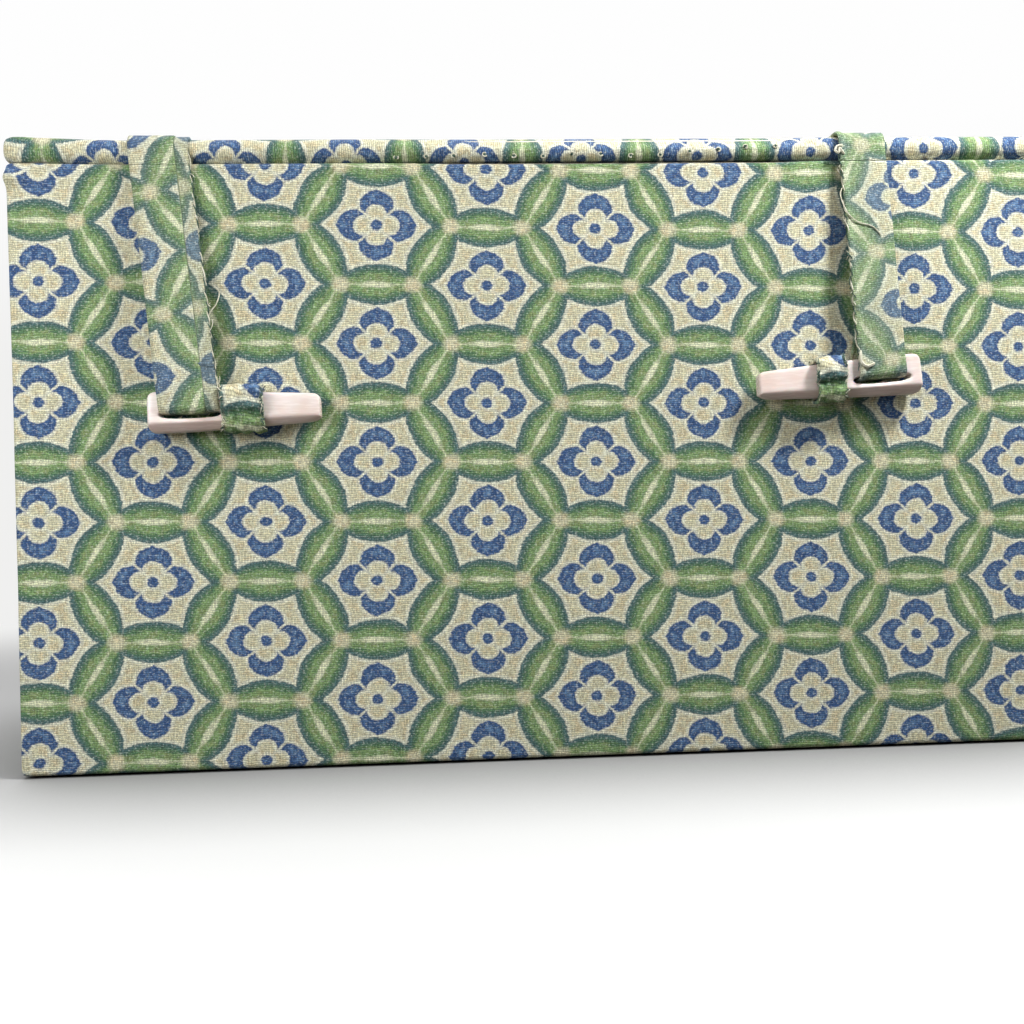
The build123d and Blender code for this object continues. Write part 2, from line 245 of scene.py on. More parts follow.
        bow = add("Math.MULTIPLY_ADD", add("Math.MULTIPLY", length, length), -self.leaf_narrowing,
                  self.leaf_middle)
        side = add("Math.SUBTRACT", bow, across)
        to_tip = add("VectorMath.LENGTH", add("VectorMath.SUBTRACT", on_leaf, (self.leaf_tip, 0.0, 0.0)))
        to_tip = add("Math.SUBTRACT", to_tip, self.leaf_gap)
        in_leaf = add("MapRange.SMOOTHSTEP", side, -0.2, 0.35)
        in_leaf = add("Math.MULTIPLY", in_leaf, add("MapRange.SMOOTHSTEP", to_tip, -0.9, 1.1))
        halo = add("MapRange.SMOOTHSTEP", side, -1.25, -0.4)
        halo = add("Math.MULTIPLY", halo, add("MapRange.SMOOTHSTEP", side, 0.7, 0.0))
        edge = add("MapRange.SMOOTHSTEP", side, self.leaf_outline + 1.3, self.leaf_outline - 0.45)
        rib = add("TexNoise.2D", add("VectorMath.MULTIPLY", on_leaf, (0.35, 2.6, 1.0)), 1.0, 1.5)
        rib = add("Math.MULTIPLY_ADD", add("MapRange.SMOOTHSTEP", side, 1.2, 4.0), 0.5, rib)
        rib = add("MapRange.SMOOTHSTEP", rib, 0.5, 1.05)
        warmth = add("MapRange.SMOOTHSTEP", add("TexNoise.2D", at, 0.42, 2.0), 0.46, 0.66, 0.0, 0.5)
        streak = add("VectorMath.LENGTH", add("VectorMath.DIVIDE", on_leaf, (5.4, 1.0, 1.0)))
        streak = add("MapRange.SMOOTHSTEP", streak, 1.15, 0.45)
        vein = add("MapRange.SMOOTHSTEP", across, 0.42, 0.12, 0.0, 0.6)
        streak = add("Math.MAXIMUM", streak, vein)

        petal = self.petal_depth(graph, cell)
        halo = add("Math.MAXIMUM", halo, add("MapRange.SMOOTHSTEP", petal, -1.1, -0.3))
        colour = add("Mix.RGBA", warmth, linear(self.ground), linear(self.ground_warm))
        colour = add("Mix.RGBA", add("Math.MULTIPLY", halo, 0.55), colour, linear(self.ground_light))
        green = add("Mix.RGBA", rib, linear(self.leaf_deep), linear(self.leaf))
        green = add("Mix.RGBA", add("Math.MULTIPLY", warmth, rib), green, linear(self.leaf_warm))
        green = add("Mix.RGBA", add("Math.MULTIPLY", edge, 0.92), green, linear(self.leaf_edge))
        green = add("Mix.RGBA", add("Math.MULTIPLY", streak, 0.85), green, linear(self.streak))
        colour = add("Mix.RGBA", in_leaf, colour, green)
        blue = add("MapRange.SMOOTHSTEP", add("TexNoise.2D", at, 0.55, 1.0), 0.35, 0.65)
        blue = add("Math.MULTIPLY", blue, add("MapRange.SMOOTHSTEP", petal, 0.3, 1.5))
        blue = add("Mix.RGBA", blue, linear(self.petal_deep), linear(self.petal))
        return add("Mix.RGBA", add("MapRange.SMOOTHSTEP", petal, -0.2, 0.3), colour, blue)

    def petal_depth(self, graph: Graph, cell: bpy.types.NodeSocket) -> bpy.types.NodeSocket:
        """Draws a flower.

        Args:
            graph: the material's graph.
            cell: a point's distances from the nearest flower's middle.
        Returns:
            How far inside the blue the point is, below 0 outside it.
        """
        add = graph.add
        cell = add("VectorMath.MULTIPLY", cell, (0.9, 1.0, 0.0))
        x = add("SeparateXYZ", cell)
        y = x.node.outputs["Y"]
        out = add("Math.MAXIMUM", x, y)
        aside = add("Math.MINIMUM", x, y)
        on_petal = add("CombineXYZ", out, aside, 0.0)
        peak = add("Math.MAXIMUM", add("Math.MULTIPLY_ADD", aside, -1 / self.peak_width, 1.0), 0.0)
        peak = add("Math.MULTIPLY", add("Math.MULTIPLY", peak, peak), self.peak_height)
        outer = add("VectorMath.LENGTH", add("VectorMath.SUBTRACT", on_petal, (self.petal_reach, 0.0, 0.0)))
        outer = add("Math.SUBTRACT", add("Math.ADD", peak, self.petal_radius), outer)
        inner = add("VectorMath.LENGTH", add("VectorMath.SUBTRACT", on_petal, (self.hollow_middle, 0.0, 0.0)))
        inner = add("Math.SUBTRACT", inner, self.petal_hollow)
        apart = add("Math.MULTIPLY_ADD", add("Math.SUBTRACT", out, aside), 0.707, -0.25)
        petal = add("Math.MINIMUM", add("Math.MINIMUM", outer, inner), apart)
        dot = add("Math.SUBTRACT", self.dot_radius, add("VectorMath.LENGTH", cell))
        return add("Math.MAXIMUM", petal, dot)

    def weave(self, graph: Graph, flat: bpy.types.NodeSocket) -> tuple[bpy.types.NodeSocket, ...]:
        """Weaves the threads. They are as coarse as the real ones.

        Args:
            graph: the material's graph.
            flat: a point's place on the cloth.
        Returns:
            The threads' height, and their lightness: their random tone, with painted shade between the
            threads and their crowns lighter.
        """
        add = graph.add
        wave = add("TexNoise.2D", flat, 0.35, 1.0)
        wave = add("VectorMath.SUBTRACT", wave.node.outputs["Color"], (0.5, 0.5, 0.5))
        flat = add("VectorMath.MULTIPLY_ADD", wave, (0.5, 0.7, 0.0), flat)
        thread = add("VectorMath.DIVIDE", flat, (self.warp_pitch, self.weft_pitch, 1.0))
        x = add("SeparateXYZ", thread)
        y = x.node.outputs["Y"]
        warp_round = add("Math.SINE", add("Math.MULTIPLY", x, pi))
        weft_round = add("Math.SINE", add("Math.MULTIPLY", y, pi))
        over = add("Math.MULTIPLY", warp_round, weft_round)
        # solid is high on the threads' middles and low between them; it raises the bump and paints shade
        # between the threads
        solid = add("Math.MULTIPLY", add("Math.ABSOLUTE", warp_round), 0.4)
        solid = add("Math.MULTIPLY_ADD", add("Math.ABSOLUTE", weft_round), 0.6, solid)
        solid = add("MapRange.SMOOTHSTEP", solid, 0.15, 0.85)
        weft = add("TexNoise.2D", add("CombineXYZ", add("Math.MULTIPLY", x, 0.3), y, 0.0), 1.0, 2.0)
        warp = add("TexNoise.2D", add("CombineXYZ", x, add("Math.MULTIPLY", y, 0.22), 3.0), 1.0, 2.0)
        slub = add("Mix.FLOAT", add("Math.GREATER_THAN", over, 0.0), weft, warp)
        slub = add("MapRange.SMOOTHSTEP", slub, 0.22, 0.78)
        height = add("Math.MULTIPLY", solid, add("Math.MULTIPLY_ADD", slub, 0.5, 0.5))
        # Partly painted shade: the threads' random tone (slub) is their own, while the darker gaps between
        # threads (solid) are painted shade.
        light = add("Math.MULTIPLY_ADD", slub, 0.72, 0.21)
        light = add("Math.MULTIPLY_ADD", solid, 0.58, light)
        light = add("CombineColor", light, light, light)
        return height, light


@dataclass(frozen=True)
class FibreFinish:
    """A matt finish of pressed or woven fibre: paper, grey-board, wadding or plain cotton.

    Its fibres show as a soft mottling with fine lines along two directions, with no gloss."""

    name: str
    light: str
    dark: str
    mottle: float              # size of the mottling
    fibre: float               # spacing of the fine lines
    relief: float
    roughness: float = 0.9

    def build(self) -> bpy.types.Material:
        """Builds the material."""
        material, graph = new_material(self.name)
        add = graph.add
        at = add("TexCoord").node.outputs["Object"]
        patches = add("TexNoise.3D", at, 1 / (self.mottle * MM), 3.0)
        lines = add("VectorMath.MULTIPLY", at, (1.0, 1.0, 0.18))
        lines = add("TexNoise.3D", lines, 1 / (self.fibre * MM), 2.0)
        cross = add("VectorMath.MULTIPLY", at, (0.18, 0.18, 1.0))
        cross = add("TexNoise.3D", cross, 1 / (self.fibre * MM), 2.0)
        fibres = add("Math.MAXIMUM", lines, cross)
        share = add("Math.MULTIPLY_ADD", add("Math.SUBTRACT", fibres, 0.55), 1.6, patches)
        share = add("MapRange.SMOOTHSTEP", share, 0.3, 0.75)
        colour = add("Mix.RGBA", share, linear(self.dark), linear(self.light))
        bump = add("Bump", 0.5, self.relief * MM, {"Height": fibres})
        shader = add("BsdfPrincipled", {"Base Color": colour, "Roughness": self.roughness,
                                        "Specular IOR Level": 0.3, "Normal": bump})
        add("OutputMaterial", shader)
        return material


@dataclass(frozen=True)
class PolishedPeg:
    """Pinkish-white casein-like plastic, cut from sheet and tumbled to a soft polish.

    It is slightly cloudy, warm in its depth, and carries faint saw marks along the peg. Faces that point
    down, such as the lower facet, are painted browner and darker as painted shade."""

    name: str = "peg plastic, tumbled"
    light: str = "#f3e8e3"
    warm: str = "#e6d1c7"
    # the colour of the painted shade on faces that point down
    painted_shade: str = "#c3aba1"

    def build(self) -> bpy.types.Material:
        """Builds the material."""
        material, graph = new_material(self.name)
        add = graph.add
        at = add("TexCoord").node.outputs["Object"]
        cloud = add("TexNoise.3D", at, 1 / (9 * MM), 2.0)
        grain = add("TexNoise.3D", add("VectorMath.MULTIPLY", at, (0.08, 1.0, 1.0)), 1 / (0.5 * MM), 2.0)
        share = add("MapRange.SMOOTHSTEP", add("Math.MULTIPLY_ADD", grain, 0.25, cloud), 0.4, 0.85)
        colour = add("Mix.RGBA", share, linear(self.warm), linear(self.light))
        # Painted shade: faces that point down, such as the lower facet, are mixed towards a darker brown.
        facing = add("SeparateXYZ", add("TexCoord").node.outputs["Normal"]).node.outputs["Z"]
        painted_shade = add("MapRange.SMOOTHSTEP", facing, -0.2, -0.6, 0.0, 0.8)
        colour = add("Mix.RGBA", painted_shade, colour, linear(self.painted_shade))
        rough = add("MapRange.SMOOTHSTEP", grain, 0.2, 0.8, 0.2, 0.34)
        bump = add("Bump", 0.25, 0.03 * MM, {"Height": grain})
        shader = add("BsdfPrincipled", {"Base Color": colour, "Roughness": rough, "IOR": 1.53,
                                        "Subsurface Weight": 0.15, "Subsurface Scale": 1.5 * MM,
                                        "Normal": bump})
        add("OutputMaterial", shader)
        return material


class Fibre(Enum):
    """The plain fibre finishes."""

    GREY_BOARD = FibreFinish("grey-board, raw", "#a8a294", "#857f72", 6.0, 0.8, 0.05)
    LINING_PAPER = FibreFinish("lining paper, laid", "#ded6bf", "#cfc5aa", 12.0, 0.9, 0.03, 0.8)
    WADDING = FibreFinish("wadding, felted", "#e4dfd2", "#cbc5b5", 3.0, 0.5, 0.2, 1.0)
    PLAIN_COTTON = FibreFinish("plain cotton, unprinted", "#cbc39f", "#aea582", 2.5, 0.5, 0.12)
    LOOSE_THREAD = FibreFinish("cotton thread, loose", "#e6e3d2", "#c2bfa8", 1.5, 0.3, 0.02)
    DYED_THREAD = FibreFinish("cotton thread, dyed", "#5b7264", "#33463f", 1.5, 0.3, 0.02)


@dataclass
class Finishes:
    """Every finish of the box, built once."""

    cotton: bpy.types.Material = field(init=False)
    peg: bpy.types.Material = field(init=False)
    fibre: dict[Fibre, bpy.types.Material] = field(init=False)

    def __post_init__(self) -> None:
        """Builds the materials."""
        self.cotton = PrintedCotton().build()
        self.peg = PolishedPeg().build()
        self.fibre = {kind: kind.value.build() for kind in Fibre}


# ---- Cloth ----
@dataclass(frozen=True)
class PrintPlacing:
    """How the print lies on a cut of cloth."""

    flower: tuple[float, float]    # the middle of one flower, on the cut
    turn: float = 0.0              # degrees from the cut's first direction to the print's
    stretch: float = 1.0           # of the print along the cut's second direction

    def at(self, s: float, t: float) -> tuple[float, float]:
        """The print's own coordinates of a point of the cut."""
        s, t = s - self.flower[0], (t - self.flower[1]) / self.stretch
        c, n = cos(radians(self.turn)), sin(radians(self.turn))
        return s * c - t * n, s * n + t * c


@dataclass
class FoldedPath:
    """Straight runs joined by round folds, which a cloth follows in one plane. The cloth's face is on the
    left of the way along it."""

    corners: list[tuple[float, float]]
    radii: list[float]
    spans: list[tuple[float, float, Vector, Vector, float]] = field(init=False)

    def __post_init__(self) -> None:
        """Works out each span's start, size, first point, heading and curvature."""
        points = [Vector(c) for c in self.corners]
        self.spans = []
        at, done = points[0], 0.0
        for i, radius in enumerate(self.radii):
            ahead = (points[i + 1] - points[i]).normalized()
            after = (points[i + 2] - points[i + 1]).normalized()
            turn = atan2(ahead.x * after.y - ahead.y * after.x, ahead.dot(after))
            reach = radius * tan(abs(turn) / 2)
            run = (points[i + 1] - at).length - reach
            self.spans.append((done, run, at, ahead, 0.0))
            self.spans.append((done + run, radius * abs(turn), points[i + 1] - ahead * reach, ahead,
                               (1 if turn > 0 else -1) / radius))
            at, done = points[i + 1] + after * reach, done + run + radius * abs(turn)
        ahead = (points[-1] - at).normalized()
        self.spans.append((done, (points[-1] - at).length, at, ahead, 0.0))

    @property
    def length(self) -> float:
        """The path's whole length."""
        return self.spans[-1][0] + self.spans[-1][1]

    def at(self, length: float) -> tuple[Vector, Vector]:
        """Follows the path.

        Args:
            length: distance from the path's start.
        Returns:
            The point there, and the direction in which the cloth faces.
        """
        span = next((s for s in reversed(self.spans) if s[0] <= length), self.spans[0])
        start, _, at, ahead, bend = span
        left = Vector((-ahead.y, ahead.x))
        part = length - start
        if not bend:
            return at + ahead * part, left
        turn = bend * part
        point = at + ahead * (sin(turn) / bend) + left * ((1 - cos(turn)) / bend)
        return point, left * cos(turn) - ahead * sin(turn)

    def stations(self, step: float, low: float = 0.0, high: float = 1e9, fold_parts: int = 6) -> list[float]:
        """Spaces stations along the path, closer in its folds.

        Args:
            step: the most between two stations of a run.
            low: where the stations start.
            high: where they end.
            fold_parts: parts in a right-angled fold.
        Returns:
            Distances from the path's start.
        """
        high = min(high, self.length)
        found = [low, high]
        for start, size, _, _, bend in self.spans:
            parts = ceil(size * abs(bend) / (pi / 2) * fold_parts) if bend else ceil(size / step)
            found += [start + size * i / max(parts, 1) for i in range(max(parts, 1))]
        found = sorted(f for f in found if low <= f <= high)
        return [f for i, f in enumerate(found) if i == 0 or f - found[i - 1] > 1e-3]


def even(low: float, high: float, step: float) -> list[float]:
    """Evenly spaced values from low to high, at most step apart."""
    parts = max(1, ceil((high - low) / step))
    return [low + (high - low) * i / parts for i in range(parts + 1)]


def lay_cloth(across: list[float], along: list[float], place: Place, print_at: PrintAt,
              fade_at: Callable[[float, float], float] | None = None) -> bmesh.types.BMesh:
    """Lays a flat cut of cloth over a form.

    Args:
        across: the cut's stations in its first direction.
        along: its stations in the second direction.
        place: gives the place of a point of the cut.
        print_at: gives the print's coordinates for a point, and for the middle of the face it belongs to.
        fade_at: gives how worn the print is at a point.
    Returns:
        The cloth as one layer, in metres, which faces the side from which the cut is seen.
    """
    mesh = bmesh.new()
    cloth_map = mesh.loops.layers.uv.new(CLOTH_MAP)
    fade = mesh.verts.layers.float.new(FADE)
    bmesh.ops.create_grid(mesh, x_segments=len(across) - 1, y_segments=len(along) - 1, size=0.5)
    cut = {v: (across[i % len(across)], along[i // len(across)]) for i, v in enumerate(mesh.verts)}
    for face in mesh.faces:
        middle = sum(cut[v][0] for v in face.verts) / len(face.verts)
        for loop in face.loops:
            loop[cloth_map].uv = print_at(*cut[loop.vert], middle)
    for vertex, (s, t) in cut.items():
        vertex.co = place(s, t) * MM
        vertex[fade] = fade_at(s, t) if fade_at else 0.0
    return mesh


def make_piece(name: str, mesh: bmesh.types.BMesh, material: bpy.types.Material, body: str,
               sharp: float = 60.0) -> bpy.types.Object:
    """Turns a bmesh to an object that rides on a body.

    Args:
        name: the piece's name.
        mesh: its shape, in metres.
        material: its finish.
        body: what it moves with, or an empty text where it is attached to none.
        sharp: the least angle of an edge that stays sharp, in degrees.
    Returns:
        The object.
    """
    bmesh.ops.remove_doubles(mesh, verts=mesh.verts, dist=0.001 * MM)
    bmesh.ops.dissolve_degenerate(mesh, edges=mesh.edges, dist=0.001 * MM)
    data = bpy.data.meshes.new(name)
    mesh.to_mesh(data)
    mesh.free()
    data.shade_smooth()
    data.set_sharp_from_angle(angle=radians(sharp))
    data.materials.append(material)
    piece = bpy.data.objects.new(name, data)
    bpy.context.scene.collection.objects.link(piece)
    if body:
        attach(piece, body)
    log.info("%s: %d faces", name, len(data.polygons))
    return piece


def spin_thread(mesh: bmesh.types.BMesh, route: Callable[[float], Vector], radius: float, parts: int = 12,
                sides: int = 5) -> None:
    """Adds one loose thread to a mesh, as a thin tube with closed, tapered ends.

    Args:
        mesh: the mesh, in metres.
        route: gives the thread's line for a share of its length, from 0 to 1.
        radius: half its thickness.
        parts: how many parts it has along its line.
        sides: how many sides it has.
    """
    grid = bmesh.ops.create_grid(mesh, x_segments=sides, y_segments=parts, size=0.5)["verts"]
    for i, vertex in enumerate(grid):
        turn, share = 2 * pi * (i % (sides + 1)) / sides, (i // (sides + 1)) / parts
        ahead = route(min(1.0, share + 1e-3)) - route(max(0.0, share - 1e-3))
        across = ahead.cross(Vector((0.1, 1.0, 0.05))).normalized()
        above = ahead.cross(across).normalized()
        thin = radius * max(0.0, 1 - (2 * share - 1) ** 10) ** 0.5
        vertex.co = (route(share) + (across * cos(turn) + above * sin(turn)) * thin) * MM


def make_threads(name: str, mesh: bmesh.types.BMesh, material: bpy.types.Material,
                 body: str) -> bpy.types.Object:
    """Turns spun threads to a piece; the arguments are those of make_piece."""
    bmesh.ops.remove_doubles(mesh, verts=mesh.verts, dist=0.001 * MM)
    bmesh.ops.dissolve_degenerate(mesh, edges=mesh.edges, dist=0.001 * MM)
    bmesh.ops.recalc_face_normals(mesh, faces=mesh.faces)
    return make_piece(name, mesh, material, body)


def settle(piece: bpy.types.Object, kind: str, **settings: Any) -> None:
    """Applies one modifier to a piece for good.

    Args:
        piece: the piece.
        kind: the modifier's type.
        settings: its properties.
    """
    modifier = piece.modifiers.new(kind.lower(), kind)
    for name, value in settings.items():
        setattr(modifier, name, value)
    seen = piece.evaluated_get(bpy.context.evaluated_depsgraph_get())
    rough, piece.data = piece.data, bpy.data.meshes.new_from_object(seen)
    piece.modifiers.clear()
    name = rough.name
    bpy.data.meshes.remove(rough)
    piece.data.name = name


def along_points(points: list[Vector], share: float) -> Vector:
    """Follows a smooth curve through points.

    Args:
        points: the points.
        share: how far along the curve, from 0 to 1.
    Returns:
        The curve's point there.
    """
    place = min(max(share, 0.0), 1.0) * (len(points) - 1)
    i = min(int(place), len(points) - 2)
    before, here, ahead, after = (points[min(max(k, 0), len(points) - 1)] for k in range(i - 1, i + 3))
    u = place - i
    return 0.5 * (2 * here + (ahead - before) * u + (2 * before - 5 * here + 4 * ahead - after) * u * u
                  + (3 * here - before - 3 * ahead + after) * u**3)


def ripple(seed: float, *place: float) -> float:
    """A smooth random value from -1 to 1 that is the same each time."""
    x, y, z = (*place, 0.0, 0.0)[:3]
    return noise.noise(Vector((x + 17.3 * seed, y - 5.1 * seed, z + 9.7 * seed)))


def step_up(value: float, low: float, high: float) -> float:
    """Rises smoothly from 0 at low to 1 at high."""
    share = min(1.0, max(0.0, (value - low) / (high - low)))
    return share * share * (3 - 2 * share)


# ---- The box ----
@dataclass(frozen=True)
class BoxSize:
    """The box's driving sizes."""

    width: float = 280.0
    depth: float = 120.0
    height: float = 165.0
    lid_height: float = 6.5
    lid_gap: float = 0.3
    cloth: float = 0.5
    wall_board: float = 3.0
    turn_in: float = 15.0
    corner_rise: float = 0.45      # how far the doubled cloth lifts the front's upper left corner
    rim_sag: float = 0.4           # how far the rim has worn down between the straps

    @property
    def half_width(self) -> float:
        """Half the width."""
        return self.width / 2

    @property
    def half_depth(self) -> float:
        """Half the depth."""
        return self.depth / 2

    @property
    def wall_top(self) -> float:
        """The height of the walls' rim."""
        return self.height - self.lid_height - self.lid_gap

    @property
    def lid_bottom(self) -> float:
        """The height of the lid's underside."""
        return self.height - self.lid_height

    def rise(self, x: float, y: float) -> float:
        """How far the doubled cloth lifts the rim and the lid towards the front's upper left corner."""
        near_corner = step_up(-x, self.half_width - 30, self.half_width)
        return self.corner_rise * near_corner * step_up(-y, 0, self.half_depth)

    def between_straps(self, x: float) -> float:
        """A share that is 1 in the front's middle, 0 at its ends, and changes smoothly between."""
        return step_up(x, -50, -15) * (1 - step_up(x, 58, 76))


class Side(Enum):
    """The box's sides, numbered to the right from the front."""

    FRONT = 0
    RIGHT = 1
    BACK = 2
    LEFT = -1


@dataclass
class Outline:
    """The box's outline in plan, followed from the middle of the back, by the left, front and right sides,
    to the middle of the back again."""

    size: BoxSize
    corner: float

    def stations(self, step: float) -> list[float]:
        """Spaces stations round the outline, closer at its corners."""
        half_width, half_depth = self.size.half_width, self.size.half_depth
        corners = [half_width, half_width + 2 * half_depth]
        near = [0.0, 0.25 * self.corner, 0.6 * self.corner, self.corner, 3 * self.corner]
        found = {c + hand * n for c in corners for hand in (-1, 1) for n in near}
        found |= {c for c in even(0, 2 * half_width + 2 * half_depth, step)
                  if all(abs(c - k) > 3 * self.corner + step / 3 for k in corners)}
        return sorted({round(hand * f, 6) for f in found for hand in (-1, 1)})

    def side(self, s: float) -> tuple[Side, float]:
        """The side that a place on the outline is on, and where that side's middle is."""
        reach = self.size.half_width + self.size.half_depth
        if abs(s) <= self.size.half_width:
            return Side.FRONT, 0.0
        if abs(s) <= self.size.half_width + 2 * self.size.half_depth:
            return (Side.RIGHT, reach) if s > 0 else (Side.LEFT, -reach)
        return Side.BACK, 2 * reach if s > 0 else -2 * reach

    def at(self, s: float, inset: float) -> tuple[float, float, Vector]:
        """Follows the outline.

        Args:
            s: distance along the outline from the front's middle, positive to the right.
            inset: how far inside the outline.
        Returns:
            X, Y and the direction outwards.
        """
        side, middle = self.side(s)
        along = s - middle
        half_width, half_depth = self.size.half_width, self.size.half_depth
        x, y = {Side.FRONT: (along, -half_depth), Side.RIGHT: (half_width, along),
                Side.BACK: (-along, half_depth), Side.LEFT: (-half_width, -along)}[side]
        x *= (half_width - inset) / half_width
        y *= (half_depth - inset) / half_depth
        rounding = min(self.corner, half_depth - inset)
        inner = Vector((max(-half_width + inset + rounding, min(half_width - inset - rounding, x)),
                        max(-half_depth + inset + rounding, min(half_depth - inset - rounding, y))))
        out = Vector((x, y)) - inner
        out = out.normalized() if out.length > 1e-6 else Vector((0.0, 0.0))
        return inner.x + rounding * out.x, inner.y + rounding * out.y, out


@dataclass
class WallCover:
    """The sleeve of printed cotton round the walls, turned in under the base and down inside the rim."""

    size: BoxSize
    finishes: Finishes
    fold: float = 1.3
    corner: float = 0.8
    step: float = 3.0
    print_placing: PrintPlacing = PrintPlacing((-132.23, 158.78), 1.14)
    lump: tuple[float, float] = (-138.2, 154.2)    # the bunched cloth at the front's upper left corner
    lump_height: float = 2.0
    lump_reach: tuple[float, float] = (2.2, 2.0)
    flare: float = 0.5             # how far the left side bulges under the rim

    def relief(self, s: float, z: float) -> float:
        """How far the cloth stands proud of the flat wall."""
        slack = 0.12 * ripple(1, s / 23, z / 31) + 0.05 * ripple(2, s / 7, z / 9)
        across, down = s - self.lump[0], z - self.lump[1]
        reach_x, reach_z = self.lump_reach
        bunch = self.lump_height * exp(-((across / reach_x) ** 2) - (down / reach_z) ** 2)
        crease = (z - 154.6) - 0.17 * (s + 136)
        pull = -0.3 * exp(-((crease / 0.7) ** 2)) * step_up(s, -138, -134) * (1 - step_up(s, -130, -126))
        return slack * step_up(z, 3, 8) * (1 - step_up(z, 152, 157)) + bunch + pull

    def build(self) -> bpy.types.Object:
        """Builds the sleeve."""
        size = self.size
        inside = size.wall_board + 2 * size.cloth
        bottom, top = size.cloth, size.wall_top
        section = FoldedPath([(size.turn_in, bottom), (0, bottom), (0, top), (inside, top),
                              (inside, top - size.cloth - size.turn_in)], [self.fold] * 3)
        outline = Outline(size, self.corner)
        wall = section.spans[2]
        first = wall[0] - wall[2].y

        def place(s: float, t: float) -> Vector:
            """The place of a point of the cut."""
            (inset, z), _ = section.at(t)
            x, y, out = outline.at(s, inset)
            proud = self.relief(s, z) if inset < self.fold and z > 2 * bottom else 0.0
            left_end = step_up(-x, size.half_width - 6, size.half_width)
            flare = self.flare * step_up(z, 70, top) * left_end
            front = step_up(-y, size.half_depth - 8, size.half_depth)
            rim = size.rise(x, y) - size.rim_sag * size.between_straps(x) * front
            return Vector((x - flare + proud * out.x, y + proud * out.y, z + rim * step_up(z, 120, 150)))

        def print_at(s: float, t: float, middle: float) -> tuple[float, float]:
            """The print's coordinates of a point."""
            side, centre = outline.side(middle)
            half = size.half_width if side in (Side.FRONT, Side.BACK) else size.half_depth
            inset = section.at(t)[0].x
            return self.print_placing.at(centre + (s - centre) * (half - inset) / half, t - first)

        lump_x, lump_z = self.lump
        columns = outline.stations(self.step) + even(lump_x - 1.6, lump_x + 12, 0.8)
        rows = section.stations(self.step) + [z + first for z in even(lump_z - 6, lump_z + 3, 0.8)]
        mesh = lay_cloth(sorted(columns), sorted(rows), place, print_at)
        piece = make_piece("wall_sleeve", mesh, self.finishes.cotton, "box")
        settle(piece, "SOLIDIFY", thickness=size.cloth * MM, offset=-1)
        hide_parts("wall_cover")
        return piece


